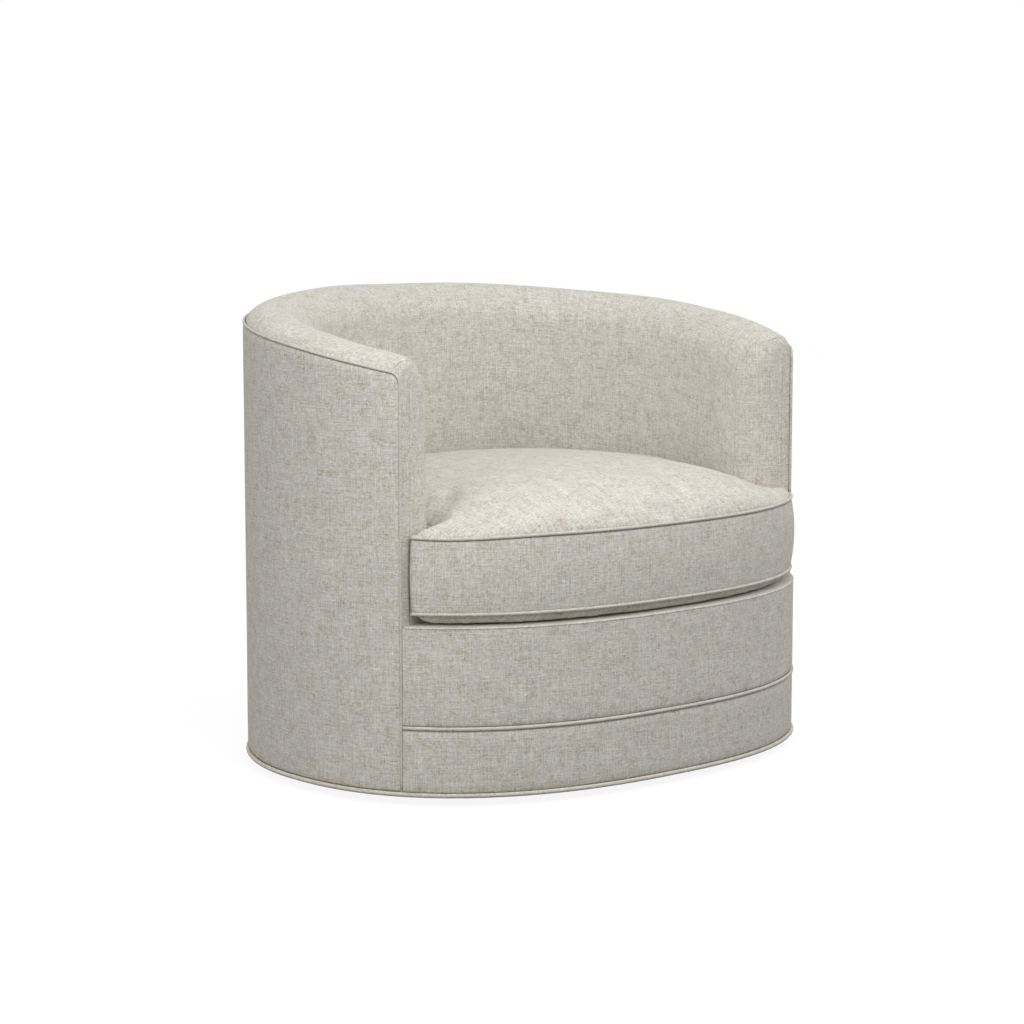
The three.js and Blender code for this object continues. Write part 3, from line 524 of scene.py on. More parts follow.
arm_pad_lengths = [0.0077, 0.011, 0.016, 0.024, 0.034, 0.046, 0.062, 0.08, 0.1]
arm_pad_turns = np.concatenate([turn_past(arm_pad_lengths), np.arange(84, pad_joint_angle, 4),
                                [pad_joint_angle - 0.04]])
wall_pad("arm_pad_right_foam", arm_pad_turns)
wall_pad("arm_pad_left_foam", 360 - arm_pad_turns[::-1])
wall_pad("back_pad_foam", np.linspace(pad_joint_angle + 0.04, 360 - pad_joint_angle - 0.04, 31))

# Deck cloth: the same linen as the cover, drawn tight over the deck pad; its front edge shows as a
# thin lit ledge under the loose cushion. The linen is a heathered plain weave of slubbed yarns.
def yarn(tree, place, scale, detail, offset):
    """Noise drawn out along the threads"""
    spread = node(tree, "Mapping", {"Vector": place, "Location": (offset, offset * 0.7, 0),
                                    "Scale": (*scale, 1)}).outputs["Vector"]
    return node(tree, "TexNoise", {"Vector": spread, "Scale": 1.0, "Detail": detail},
                noise_dimensions="2D").outputs["Fac"]


def summed(tree, first, second, share):
    """first plus a share of how far second stands from its middle, 0.5"""
    part = node(tree, "Math", {0: second, 1: share, 2: -share * 0.5}, operation="MULTIPLY_ADD")
    return node(tree, "Math", {0: first, 1: part.outputs[0]}).outputs[0]


def tinted(tree, color, tint, share, low, high):
    """color turned towards a tint where share rises from low to high"""
    amount = node(tree, "MapRange", {"Value": share, "From Min": low, "From Max": high})
    blend = node(tree, "Mix", {"Factor": amount.outputs["Result"], 6: color, 7: (*tint, 1)},
                 data_type="RGBA", blend_type="MULTIPLY")
    return blend.outputs[2]


def linen_cloth(name, color=(0.640, 0.622, 0.572), contrast=1.0):
    material = finish(name, color, 0.92)
    tree = material.node_tree
    place = node(tree, "UVMap", uv_map="cloth").outputs["UV"]
    tone = 1.0
    for scale, detail, start, share in (
            ((20, 520), 0.0, 0.0, 0.22), ((520, 20), 0.0, 3.1, 0.24),
            ((120, 660), 1.0, 21.0, 0.40), ((660, 120), 1.0, 17.3, 0.38),
            ((460, 460), 2.0, 7.7, 0.36), ((34, 34), 2.0, 1.3, 0.15)):
        tone = summed(tree, tone, yarn(tree, place, scale, detail, start), share * contrast)
    shade = node(tree, "VectorMath", {0: color, "Scale": tone}, operation="SCALE").outputs[0]
    cloud = yarn(tree, place, (52, 60), 2.0, 33.0)
    for scale, start, low, high, tint in (
            ((85, 600), 12.5, 0.53, 0.70, (0.90, 0.865, 0.80)),
            ((600, 85), 14.9, 0.57, 0.72, (0.91, 0.88, 0.82)),
            ((190, 600), 25.5, 0.64, 0.76, (0.82, 0.775, 0.69)),
            ((440, 260), 28.5, 0.66, 0.78, (0.80, 0.75, 0.665)),
            ((110, 620), 41.0, 0.60, 0.75, (1.05, 1.055, 1.07)),
            ((620, 40), 47.0, 0.58, 0.72, (1.07, 1.075, 1.09))):
        fleck = summed(tree, yarn(tree, place, scale, 1.0, start), cloud, 0.34)
        shade = tinted(tree, shade, tint, fleck, low, high)
    wire(tree, tree.nodes["Principled BSDF"],
         {"Base Color": shade, "Normal": relief(tree, tone, 0.3, 0.0005), "Sheen Weight": 0.08,
          "Sheen Roughness": 0.5, "Specular IOR Level": 0.25})
    return material


linen = linen_cloth("linen")


def drawn_in(plan, depth):
    """A plan made smaller all round"""
    run = unit(np.roll(plan, -1, 0) - np.roll(plan, 1, 0))
    return plan + depth * np.stack([-run[:, 1], run[:, 0]], -1)


def skirted(plan, edge, spacing):
    """Corners and faces of a cloth over a plan; edge has its rings' depths and heights, inwards"""
    points, faces = cut_cloth(drawn_in(plan, edge[-1][0]), spacing)
    rim = len(plan)
    corners = [np.c_[points, np.full(len(points), edge[-1][1])]]
    corners += [np.c_[drawn_in(plan, depth), np.full(rim, height)] for depth, height in edge[:-1]]
    starts = [*range(len(points), len(points) + rim * (len(edge) - 1), rim), 0]
    for lower, upper in zip(starts[:-1], starts[1:]):
        faces += ringed(lower, upper, rim)
    return np.concatenate(corners), faces


deck_plan = seat_plan(0.0, edge_reach, edge_reach, 0.004)
deck_edge = [(0.0002, deck_top - deck_cloth_thickness), (0.0, deck_top - 0.0016),
             (0.0002, deck_top - 0.0008), (0.0008, deck_top - 0.0002), (0.0018, deck_top)]
corners, faces = skirted(deck_plan, deck_edge, 0.020)
deck_cloth = thicken(made("deck_cloth_sheet", corners, faces, linen), 0.0012)
placed(deck_cloth, "chair", "linen", "deck_cloth")

# Inside cover: one piece of linen from the outer seam over the padded rim and down the inside of
# the arms and the back, sewn to the edge welt and tucked in round the deck.
def cushioned(places, rows, amount, size):
    """Shallow hollows and swells along each normal, as the stuffing and the stretching left them"""
    run = np.gradient(places, axis=1)
    rise = np.gradient(places, axis=0)
    normal = np.cross(run, rise)
    normal /= np.linalg.norm(normal, axis=-1, keepdims=True) + 1e-12
    x, y, z = np.moveaxis(places, -1, 0) / size
    broad = np.sin(x * 1.9 + 2.1 * np.sin(z * 1.3 + 0.4)) * np.sin(y * 1.7 + 1.6 * np.sin(x * 0.9))
    fine = np.sin(z * 2.9 + 1.9 * np.sin(y * 1.1 + 1.0)) * np.sin(x * 2.3 - y * 2.1 + 0.7)
    return places + normal * (amount * (broad + 0.6 * fine) * rows)[..., None]


def lengths(places, axis):
    """The way run along an axis of a grid of places"""
    steps = np.linalg.norm(np.diff(places, axis=axis), axis=-1)
    start = [(0, 0)] * steps.ndim
    start[axis] = (1, 0)
    return np.cumsum(np.pad(steps, start), axis)


def quilted(name, places, material, cut, closed=False):
    """A piece from a grid of places, with its lay on the cloth"""
    faces = quilt(*places.shape[:2], column_closed=closed)
    return made(name, places.reshape(-1, 3), faces, material, cut.reshape(-1, 2))


seam_past = 0.008
shift_reach = 0.102
roll_bend = (41, 0.0)
seam_angles = np.array([180, 165, 150, 135, 120, 105, 90, 80, 72, 65, 58, 50, 40, 30, 15, 0])
seam_lengths = [0.016, 0.013, 0.0105, 0.008, 0.0063, 0.005, 0.0048, 0.0052, 0.0066, 0.009, 0.0125,
                0.018, 0.026, 0.034, 0.040, 0.042]
arm_stations = np.array([0.0003, 0.001, 0.002, 0.0035, 0.0052, 0.0068, 0.0076, 0.0080, 0.0084,
                         0.0090, 0.0098, 0.0110, 0.0135, 0.017, 0.021, 0.026, 0.032, 0.039, 0.047,
                         0.056, 0.066, 0.077, 0.089, 0.102, 0.116])
wall_stations = np.arange(84.0, 180.1, 2.0)


def seam_at(angle):
    """How far behind the arm's face the facing is sewn to the cover, round the rim's section"""
    return np.interp(-np.asarray(angle, float), -seam_angles, seam_lengths)


def crease_at(angle):
    """The seam is drawn in over the top, and fades on the inner side"""
    return np.interp(-np.asarray(angle, float), [-180, -66, -46, 0], [1, 1, 0, 0])


def all_round(near, far):
    """Stations from the right arm's face to the back, and on round to the left arm's face"""
    half = np.concatenate([near, far])
    return np.concatenate([half, 360 - half[-2::-1]])


def cover_stations(angle):
    """The cover's stations, of which one always runs along the seam"""
    seam = seam_at(angle)
    before = arm_stations * seam / seam_past
    share = np.clip((shift_reach - arm_stations) / (shift_reach - seam_past), 0, 1)
    behind = arm_stations + (seam - seam_past) * share
    return all_round(turn_past(np.where(arm_stations <= seam_past, before, behind)), wall_stations)


def cover_sunk(angle):
    """The cover lies under the facing, and dips into the seam behind it"""
    crease = crease_at(angle)
    near = np.interp(arm_stations - seam_past, [-0.0012, 0.0001, 0.0004, 0.0012],
                     [0.0011, 0.0017, 0.0008, 0])
    near = near * (0.6 + 0.4 * crease) * np.where(arm_stations > seam_past, crease, 1)
    half = np.concatenate([near, np.zeros(len(wall_stations))])
    return np.concatenate([half, half[-2::-1]])


round_stations = cover_stations(90)
cover_bends = [(angle, 0.0) for angle in (180, 174, 166, 156, 145, 134, 123, 112, 101, 90, 80, 70,
                                          60, 50, 41, 32, 24, 16, 8, 0)]
cover_bends += [(0, share) for share in (0.04, 0.1, 0.18, 0.28, 0.4, 0.52, 0.64, 0.76, 0.88, 1.0)]
cover = np.array([rim_face(cover_stations(angle), angle, cover_sunk(angle), down)
                  for angle, down in cover_bends])
loose = np.array([angle <= 150 for angle, _ in cover_bends])[:, None]
cover = cushioned(cover, loose * np.clip(length_past(round_stations) / 0.08, 0, 1), 0.0009, 0.11)
along = lengths(cover, 1)
roll = along[cover_bends.index(roll_bend)]
index = np.arange(len(round_stations))
right, left = len(arm_stations), index[-1] - len(arm_stations)
lay = np.where(index < right, roll[right] - along[:, [right]] + along, roll)
lay = np.where(index > left, roll[left] - along[:, [left]] + along, lay)
cut = np.stack([lay, -lengths(cover, 0)], -1)
inside_cover = thicken(quilted("inside_cover_sheet", cover, linen, cut), 0.0015)
placed(inside_cover, "chair", "inner_linen", "inside_cover")

# Arm facings: a shaped piece of linen over the front end of each arm, eased over the rounded top
# edge and sewn to the cover along a thin arched seam.
facing_angles = [*range(180, 19, -8), 10, 0]
wall_shares = [0.05, 0.12, 0.2, 0.3, 0.4, 0.5, 0.6, 0.7, 0.8, 0.9, 1.0]
edge_angles = np.array(facing_angles + [0] * len(wall_shares), float)
edge_shares = np.array([0] * len(facing_angles) + wall_shares)
edge_top_drop = 0.021
spine_drop = 0.017
seam_tuck = 0.0017
edge_fullness = 0.0008
face_fullness = 0.0011


def arm_facing(name, side):
    """Rows run from the seam over the eased edge to the front, then in to the middle of the face"""
    heights = np.linspace(deck_top - tuck_depth, rim_front_height - edge_top_drop, 14)
    forward = ahead_at(arm_angle)
    rows = []
    edge = list(zip(seam_at(edge_angles), edge_angles, crease_at(edge_angles), edge_shares))
    for share in (1.0, 0.97, 0.93, 0.86, 0.78, 0.66, 0.54, 0.42, 0.31, 0.21, 0.13, 0.07, 0.03, 0.01,
                  0.0):
        tuck = seam_tuck * max(0, 1 - (1 - share) / 0.12) ** 1.5
        ring = np.array([rim_face(turn_past(past * share), angle, tuck * crease - 0.0002, down)
                         for past, angle, crease, down in edge])
        outer = np.array([[*arm_place(0.0016 * share, frame_inset), height] for height in heights])
        loop = np.concatenate([outer, ring])
        loop[:, :2] += forward * edge_fullness * (1 - share)
        rows.append(loop)
    middle = (loop[0, :2] + loop[-1, :2]) / 2
    spine_top = loop[:, 2].max() - spine_drop
    spine = np.c_[np.tile(middle, (len(loop), 1)), np.minimum(loop[:, 2], spine_top)]
    for share in (0.12, 0.3, 0.55, 0.8, 1.0):
        row = loop + (spine - loop) * share
        row[:, :2] += forward * face_fullness * (1 - (1 - share) ** 2)
        rows.append(row)
    places = np.array(rows)
    sideways = unit(loop[-1, :2] - loop[0, :2])
    spread = unit(np.stack([(loop - spine)[:, :2] @ sideways, (loop - spine)[:, 2]], -1))
    reach = lengths(places[::-1], 0)[::-1]
    cut = np.stack([np.zeros(len(loop)), spine[:, 2]], -1) + reach[..., None] * spread
    cut[..., 1] += (places[..., 2] - loop[:, 2]) * (1 - np.abs(spread[:, 1])) ** 2
    faces = quilt(*places.shape[:2])
    if side < 0:
        places = places * (-1, 1, 1)
        faces = [face[::-1] for face in faces]
    piece = thicken(made(name, places.reshape(-1, 3), faces, linen, cut.reshape(-1, 2)), 0.0008)
    placed(piece, "chair", "linen", name.replace("arm_facing", "arm_front"))


arm_facing("arm_facing_right", 1)
arm_facing("arm_facing_left", -1)

# Seam threads: the twisted thread that joins each facing to the cover, drawn down into the seam
# over the arm's top. Its dark colour is painted shade, standing in for the shadow in the narrow
# seam groove.
# painted shade: the thread is made far darker than the linen so that it draws the seam's shadow
# line
seam_shade_thread = speckled(finish("seam_shade_thread", (0.16, 0.15, 0.13), 0.95), 0.001, (1, 1, 1),
                          (0.12, 0.115, 0.10), (0.20, 0.19, 0.165))
thread_radius = 0.00065
thread_depth = 0.0009
thread_sides = 6
thread_start, thread_end = 150, 62


def tube(rows, sides):
    """Faces round a rope of rings, with its two ends"""
    ends = [tuple(range(sides)), tuple(range((rows - 1) * sides, rows * sides))[::-1]]
    return quilt(rows, sides, column_closed=True) + ends


def seam_shade_line(name, side):
    angles = np.linspace(thread_start, thread_end, 60)
    turns = turn_past(seam_at(angles))
    path = np.array([rim_face(turn, angle, thread_depth) for turn, angle in zip(turns, angles)])
    upward = unit(np.array([rim_face(turn, angle) for turn, angle in zip(turns, angles)]) - path)
    across = unit(np.cross(np.gradient(path, axis=0), upward))
    bend = (np.arange(thread_sides) / thread_sides * 2 * math.pi)[:, None]
    # painted shade: the thread is thickest over the top, where the seam's shadow is darkest
    thin = np.interp(angles, [thread_end, 72, 110, thread_start], [0.3, 1, 0.9, 0.3])
    spokes = upward[:, None] * np.cos(bend) + across[:, None] * np.sin(bend)
    rings = path[:, None] + thread_radius * thin[:, None, None] * spokes
    piece = made(name, rings.reshape(-1, 3) * (side, 1, 1), tube(*rings.shape[:2]), seam_shade_thread)
    closed_body(piece)
    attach(piece, "chair")


seam_shade_line("facing_seam_shade_right", 1)
seam_shade_line("facing_seam_shade_left", -1)

# Outside cloth: one panel drawn smooth round the back and the arms' sides, closed into the edge
# welt at the top and in front, and into the bottom welt below.
panel_foot = 0.0193
panel_inset = 0.0006
welt_reach = 0.0025
outer_past = welt_reach + np.array([-0.0005, 0.0001, 0.0012, 0.0025, 0.0045, 0.007, 0.010, 0.014,
                                    0.020, 0.030, 0.045])
outer_stations = all_round(turn_past(outer_past), np.arange(72.0, 180.1, 2.0))


def panel_top(turn):
    radius = arm_top_radius - welt_reach
    drop = round_drop(length_past(turn) - welt_reach, radius, radius)
    return seam_height(turn) - welt_reach - drop


def edge_dip(gap, depth=0.0021, reach=0.006):
    """How far a cloth sinks towards the seam that it is sewn into"""
    short = np.clip(1 - gap / reach, 0, 1)
    return depth * short ** 2


def smooth_panel(name, stations, foot, top, side_gap, rows, top_dip=0.0021):
    """Cloth drawn over the shell from foot to top, sunk a little into the seams round it"""
    hems = np.array([0, 0.004, 0.012, 0.024])
    share = np.concatenate([hems, np.linspace(0.045, 0.955, rows), 1 - hems[::-1]])
    top = np.broadcast_to(top, len(stations))
    height = foot + share[:, None] * (top - foot)
    below, above = height - foot, top - height
    dip = np.maximum(np.maximum(edge_dip(below), edge_dip(above, top_dip)),
                     edge_dip(side_gap, 0.0004, 0.004))
    plan = outline(np.broadcast_to(stations, height.shape), panel_inset + dip)
    places = np.concatenate([plan, height[..., None]], -1)
    inner = np.clip(np.minimum(np.minimum(below, above), side_gap) / 0.06, 0, 1)
    places = cushioned(places, -inner, 0.0006, 0.16)
    along = lengths(places[rows // 2:rows // 2 + 1], 1)
    cut = np.stack([np.broadcast_to(along, height.shape), height], -1)
    return thicken(quilted(name, places, linen, cut), 0.0014)


outside_cloth = smooth_panel("outside_cloth", outer_stations, panel_foot, panel_top(outer_stations),
                             length_past(outer_stations) - welt_reach, 26)
placed(outside_cloth, "chair", "linen", "outside_panel")

# Front: the panel under the deck and the plain lower band, two strips of linen parted by a welt and
# closed into the edge welt at both ends.
band_height = 0.1125
band_welt_radius = 0.003
front_end = float(turn_past(-welt_reach))
end_stations = -front_end + np.array([0, 0.08, 0.25, 0.5, 1.0])
front_stations = np.concatenate([end_stations, np.arange(-60, 60.1, 2.0), -end_stations[::-1]])
front_gap = (front_end - np.abs(front_stations)) * length_per_degree
front_cloth = smooth_panel("front_cloth", front_stations, band_height + band_welt_radius + seam_gap,
                           deck_top - deck_cloth_thickness + 0.0002, front_gap, 12, 0.0)
placed(front_cloth, "chair", "linen", "front_panel")
band_cloth = smooth_panel("band_cloth", front_stations, panel_foot,
                          band_height - band_welt_radius - seam_gap, front_gap, 10)
placed(band_cloth, "chair", "linen", "lower_band")

# Welts: linen cut on the bias and sewn round a cord, let into the seams. One runs up an arm, round
# the top and down the other arm; one parts the front panels; one closes the bottom edge.
welt_linen = linen_cloth("welt_linen", (0.625, 0.607, 0.560), 0.9)
twist_depth = 0.04
ridge_turns = 610
twist_turns = 300


def welt(name, path, radius, closed, body, node, sides=10):
    """A covered cord along a path, with the slight ridges of its twist"""
    if closed:
        path = np.concatenate([path, path[:1]])
    run = np.gradient(path, axis=0)
    if closed:
        run[0] = run[-1] = path[1] - path[-2]
    run = unit(run)
    spoke = (path - (0, widest_y, 0)) * (1, 1, 0)
    out = unit(spoke - run * (spoke * run).sum(1, keepdims=True))
    up = np.cross(run, out)
    along = lengths(path, 0)[:, None]
    bend = np.arange(sides) / sides * 2 * math.pi
    ridges = twist_depth * np.sin(along * ridge_turns) * np.cos(bend + along * twist_turns)
    rope = radius * (1 - 0.045 + ridges)
    rings = (path[:, None] + out[:, None] * (np.cos(bend) * rope)[..., None]
             + up[:, None] * (np.sin(bend) * rope)[..., None])
    girth = np.broadcast_to(bend * radius, rope.shape)
    bias = np.stack([along + girth, along - girth], -1) * math.sqrt(0.5)
    if closed:
        rings, bias = rings[:-1], bias[:-1]
        faces = quilt(*rings.shape[:2], row_closed=True, column_closed=True)
    else:
        faces = tube(*rings.shape[:2])
    piece = made(name, rings.reshape(-1, 3), faces, welt_linen, bias.reshape(-1, 2))
    closed_body(piece)
    return placed(piece, body, "welt", node)


corner = np.radians(np.arange(0, 91, 7.5))
corner_past = arm_top_radius * (1 - np.cos(corner))
corner_height = seam_height(turn_past(corner_past)) - arm_top_radius * (1 - np.sin(corner))
straight = np.concatenate([turn_past([0.018, 0.024, 0.032, 0.042]), np.arange(72.0, 180.1, 1.5)])
edge_radius = 0.0022
front_edge = outline(arm_angle, edge_radius)
climb_heights = np.linspace(panel_foot, corner_height[0], 40, endpoint=False)
climb = np.c_[np.tile(front_edge, (len(climb_heights), 1)), climb_heights]
over = np.c_[outline(turn_past(corner_past), edge_radius), corner_height]
back = np.c_[outline(straight, edge_radius), seam_height(straight)]
half_edge = np.concatenate([climb, over, back])
whole_edge = np.concatenate([half_edge, half_edge[-2::-1] * (-1, 1, 1)])
welt("edge_piping", whole_edge, edge_radius, False, "chair", "edge_welt")


def level_line(stations, inset, height):
    return np.c_[outline(stations, inset), np.full(len(stations), height)]


band_seam_inset = 0.0044
band_stations = np.linspace(-front_end, front_end, 141)
band_line = level_line(band_stations, band_seam_inset - band_welt_radius, band_height)
welt("band_piping", band_line, band_welt_radius, False, "chair", "band_welt")
bottom_welt_radius = 0.0035
bottom_height = 0.0155
hem_stations = np.arange(0, 360, 1.5)
hem_line = level_line(hem_stations, 0.0009, bottom_height)
welt("bottom_piping", hem_line, bottom_welt_radius, True, "chair", "bottom_welt", 12)

# Dust cover: thin black woven cambric with a round hole for the foot, stapled up under the bottom
# ring.
cambric = woven("cambric", (0.012, 0.012, 0.013), (0.035, 0.035, 0.037), 1400, 0.95, 0.3)
hole_radius = 0.282
cambric_height = 0.0130
cambric_inset = 0.008
slack = 0.0003
staple_waves = 14
cambric_edge = outline(hem_stations, cambric_inset)
hole = unit(cambric_edge) * hole_radius
waves = 1 + np.sin(np.radians(hem_stations * staple_waves))
dust_rings = np.array([np.c_[cambric_edge + (hole - cambric_edge) * share,
                             cambric_height - slack * math.sin(math.pi * share) * waves / 2]
                       for share in np.linspace(0, 1, 9)])
dust_cover = thicken(quilted("dust_cover_sheet", dust_rings, cambric, dust_rings[..., :2], True),
                     0.0005, 0.0)
placed(dust_cover, "chair", "cambric", "dust_cover")

# Cushion core: a block of foam with rounded shoulders, cut to the space between the arms, with an
# ear before each arm, and hollowed a little along the back for the zip.
cushion_edge = 0.0055
top_welt_height = 0.389
bottom_welt_height = 0.277
shoulder_rise = 0.046
shoulder_reach = 0.042
front_reach = 0.110
cushion_dome = 0.0207
dome_reach = 0.24
left_ear_droop = 0.55
right_ear_droop = 0.72
belly_reach = 0.027
cushion_welt_radius = 0.0026
panel_thickness = 0.0012
back_tuck = 0.0065


def cushion_plan(depth, spacing=0.006):
    ear_radius = max(0.013 - depth, 0.001)
    return seat_plan(0.003 + depth, 0.0065 + depth, 0.008 + depth, ear_radius, spacing)


def smoothstep(value, low, high):
    share = np.clip((value - low) / (high - low), 0, 1)
    return share * share * (3 - 2 * share)


def shoulder_width(edge):
    """The shoulder is short along the arms and the back, and long over the open front"""
    return shoulder_reach + (front_reach - shoulder_reach) * smoothstep(-edge[:, 1], -arm_y, 0.33)


def swelling(points, middle, size):
    """A round swell: 1 at its middle, fading over its size"""
    return np.exp(-(((points - middle) / size) ** 2).sum(1))


def cushion_crown(points, depth, edge):
    """Height of the cushion's face above its welt: a rounded shoulder and a shallow dome, lower
    towards the ears, and fuller at the back left than at the right, as it was last patted"""
    x, y = points.T
    reach = shoulder_width(edge)
    shoulder = shoulder_rise * np.sqrt(1 - (1 - np.clip(depth / reach, 0, 1)) ** 2)
    inward = np.clip((depth - shoulder_reach) / dome_reach, 0, 1)
    dome = cushion_dome * (1 - (1 - inward) ** 2)
    filled = (0.0025 * swelling(points, (-0.04, 0.17), (0.15, 0.11))
              - 0.0042 * swelling(points, (0.21, 0.01), (0.09, 0.10)))
    left_droop = left_ear_droop * smoothstep(-x, 0.17, 0.36) * smoothstep(-y, -widest_y, -arm_y)
    right_droop = right_ear_droop * smoothstep(x, 0.15, 0.35) * smoothstep(-y, -widest_y, 0.193)
    right_droop *= 1 - 0.18 * smoothstep(x, 0.3, 0.385)
    patted = (0.0055 * swelling(points, (0.292, -0.262), (0.034, 0.03))
              - 0.0025 * swelling(points, (0.232, -0.243), (0.03, 0.03)))
    height = shoulder + dome + filled * smoothstep(depth, 0, 0.05)
    return height * (1 - left_droop - right_droop) + patted * smoothstep(depth, 0, 0.03)


def cushion_belly(points, depth, edge):
    """The underside bulges down from its welt and flattens on the deck"""
    short = 1 - np.clip(depth / belly_reach, 0, 1)
    return (deck_top + seam_gap - bottom_welt_height) * np.sqrt(1 - short ** 2)


def welt_droop(points):
    """The top welt sags a little near the left ear"""
    return -0.004 * swelling(points, (-0.345, -0.268), (0.10, 0.07))


def eased(faces, height, fixed, rounds):
    """Heights averaged with their neighbours', so that no ridge is left"""
    pairs = np.array([pair for face in faces for pair in zip(face, face[1:] + face[:1])])
    pairs = np.concatenate([pairs, pairs[:, ::-1]])
    weight = np.bincount(pairs[:, 0], minlength=len(height))
    height = height.copy()
    for _ in range(rounds):
        mean = np.bincount(pairs[:, 0], height[pairs[:, 1]], len(height)) / np.maximum(weight, 1)
        height = np.where(fixed, height, mean)
    return height


core_plan = cushion_plan(cushion_welt_radius + cover_thickness + seam_gap, 0.010)
points, faces = cut_cloth(core_plan, 0.016)
depth, edge = depth_inside(points, core_plan)
rim = len(core_plan)
depth[:rim] = 0
count = len(points)
bound = np.arange(count) < rim
crown = eased(faces, cushion_crown(points, depth, edge), bound | (depth < 0.024), 10)
crown[bound] = 0
core_top = top_welt_height - 0.0034
core_foot = bottom_welt_height + 0.0040
upper = np.c_[points, core_top + 0.86 * crown + welt_droop(points)]
lower = np.c_[points, core_foot + 0.9 * cushion_belly(points, depth, edge)]
under = [tuple(count + k for k in face[::-1]) for face in faces]
waist = back_tuck * smoothstep(core_plan[:, 1], widest_y - 0.05, widest_y + 0.01)[:, None]
waist_shares = [0.1, 0.25, 0.4, 0.5, 0.6, 0.75, 0.9]
rise = upper[:rim, 2] - lower[:rim, 2]
waist_rows = [np.c_[drawn_in(core_plan, 4 * share * (1 - share) * waist),
                    lower[:rim, 2] + share * rise] for share in waist_shares]
levels = [count, *range(2 * count, 2 * count + rim * len(waist_shares), rim), 0]
side = [face for low, high in zip(levels[:-1], levels[1:]) for face in ringed(low, high, rim)]
corners = np.concatenate([upper, lower, *waist_rows])
core = made("cushion_foam", corners, faces + under + side, foam)
closed_body(core)
placed(core, "cushion", "foam", "cushion_core")

# Cushion cover: a top and a bottom panel of linen, each pinned along its welt. The top one is
# pressed out a little by the foam.
def rolled_out(points, plan, crown, spacing=0.006):
    """The lay of a crowned panel: each point's way from its middle over the panel, laid out flat"""
    low, high = plan.min(0), plan.max(0)
    across, along = [np.arange(low[k], high[k] + spacing, spacing) for k in range(2)]
    grid = np.stack(np.meshgrid(across, along), -1).reshape(-1, 2)
    depth, edge = depth_inside(grid, plan)
    height = np.where(depth > 0, crown(grid, np.maximum(depth, 0), edge), 0)
    height = height.reshape(len(along), len(across))
    middle = np.array([0, widest_y])
    way = middle + (points - middle) * np.linspace(0, 1, 70)[:, None, None]
    column, row = np.moveaxis((way - low) / spacing, -1, 0)
    left = np.clip(column.astype(int), 0, len(across) - 2)
    below = np.clip(row.astype(int), 0, len(along) - 2)
    right_part, upper_part = column - left, row - below
    lower_level, upper_level = [
        height[line, left] * (1 - right_part) + height[line, left + 1] * right_part
        for line in (below, below + 1)]
    level = lower_level * (1 - upper_part) + upper_level * upper_part
    path = np.concatenate([way, level[..., None]], -1)
    run = np.linalg.norm(np.diff(path, axis=0), axis=-1).sum(0)
    flat = np.linalg.norm(points - middle, axis=1)
    return middle + (points - middle) * (run / np.maximum(flat, 1e-6))[:, None]


def blown(piece, pinned, pressure, cap, shrink, frames=20):
    """Cloth pressed out from inside and held at its pinned places; no point moves past the cap"""
    before = np.array([vertex.co for vertex in piece.data.vertices])
    hold = piece.vertex_groups.new(name="pinned")
    hold.add([int(k) for k in pinned], 1.0, "REPLACE")
    fabric = piece.modifiers.new("fabric", "CLOTH")
    for key, value in {"quality": 6, "mass": 0.3, "tension_stiffness": 40,
                       "compression_stiffness": 40, "shear_stiffness": 20, "bending_stiffness": 1.5,
                       "vertex_group_mass": "pinned", "use_pressure": True,
                       "uniform_pressure_force": pressure, "shrink_min": shrink}.items():
        setattr(fabric.settings, key, value)
    fabric.settings.effector_weights.gravity = 0
    fabric.point_cache.frame_start = 1
    fabric.point_cache.frame_end = frames
    for step in range(1, frames + 1):
        bpy.context.scene.frame_set(step)
    graph = bpy.context.evaluated_depsgraph_get()
    shaped = piece.evaluated_get(graph).to_mesh()
    after = np.array([vertex.co for vertex in shaped.vertices])
    piece.modifiers.remove(fabric)
    bpy.context.scene.frame_set(1)
    move = after - before
    size = np.linalg.norm(move, axis=1, keepdims=True)
    move *= np.minimum(1, cap / np.maximum(size, 1e-9))
    piece.data.vertices.foreach_set("co", (before + move).ravel())
    piece.data.update()
    print(piece.name, "moved up to", round(float(size.max()), 4))


def cushion_panel(name, welt_height, crown, upward, reach, node):
    plan = cushion_plan(cushion_edge - panel_thickness)
    points, faces = cut_cloth(plan, 0.009)
    depth, edge = depth_inside(points, plan)
    depth[:len(plan)] = 0
    bound = np.arange(len(points)) < len(plan)
    height = eased(faces, crown(points, depth, edge), bound | (depth < 0.6 * reach), 25)
    height[bound] = 0
    cut = rolled_out(points, plan, crown)
    if upward:
        height = height + welt_droop(points) * (1 - smoothstep(depth, 0, 0.06))
    else:
        faces = [face[::-1] for face in faces]
    piece = made(name, np.c_[points, welt_height + height], faces, linen, cut)
    if upward:
        blown(piece, np.flatnonzero(bound), 3.0, 0.008, -0.015)
    smooth = piece.modifiers.new("fullness", "SUBSURF")
    smooth.levels = smooth.render_levels = 1
    thicken(piece, panel_thickness)
    placed(piece, "cushion", "linen", node)


cushion_panel("cushion_top", top_welt_height, cushion_crown, True, shoulder_reach,
              "cushion_top_panel")
cushion_panel("cushion_bottom", bottom_welt_height, cushion_belly, False, belly_reach,
              "cushion_bottom_panel")

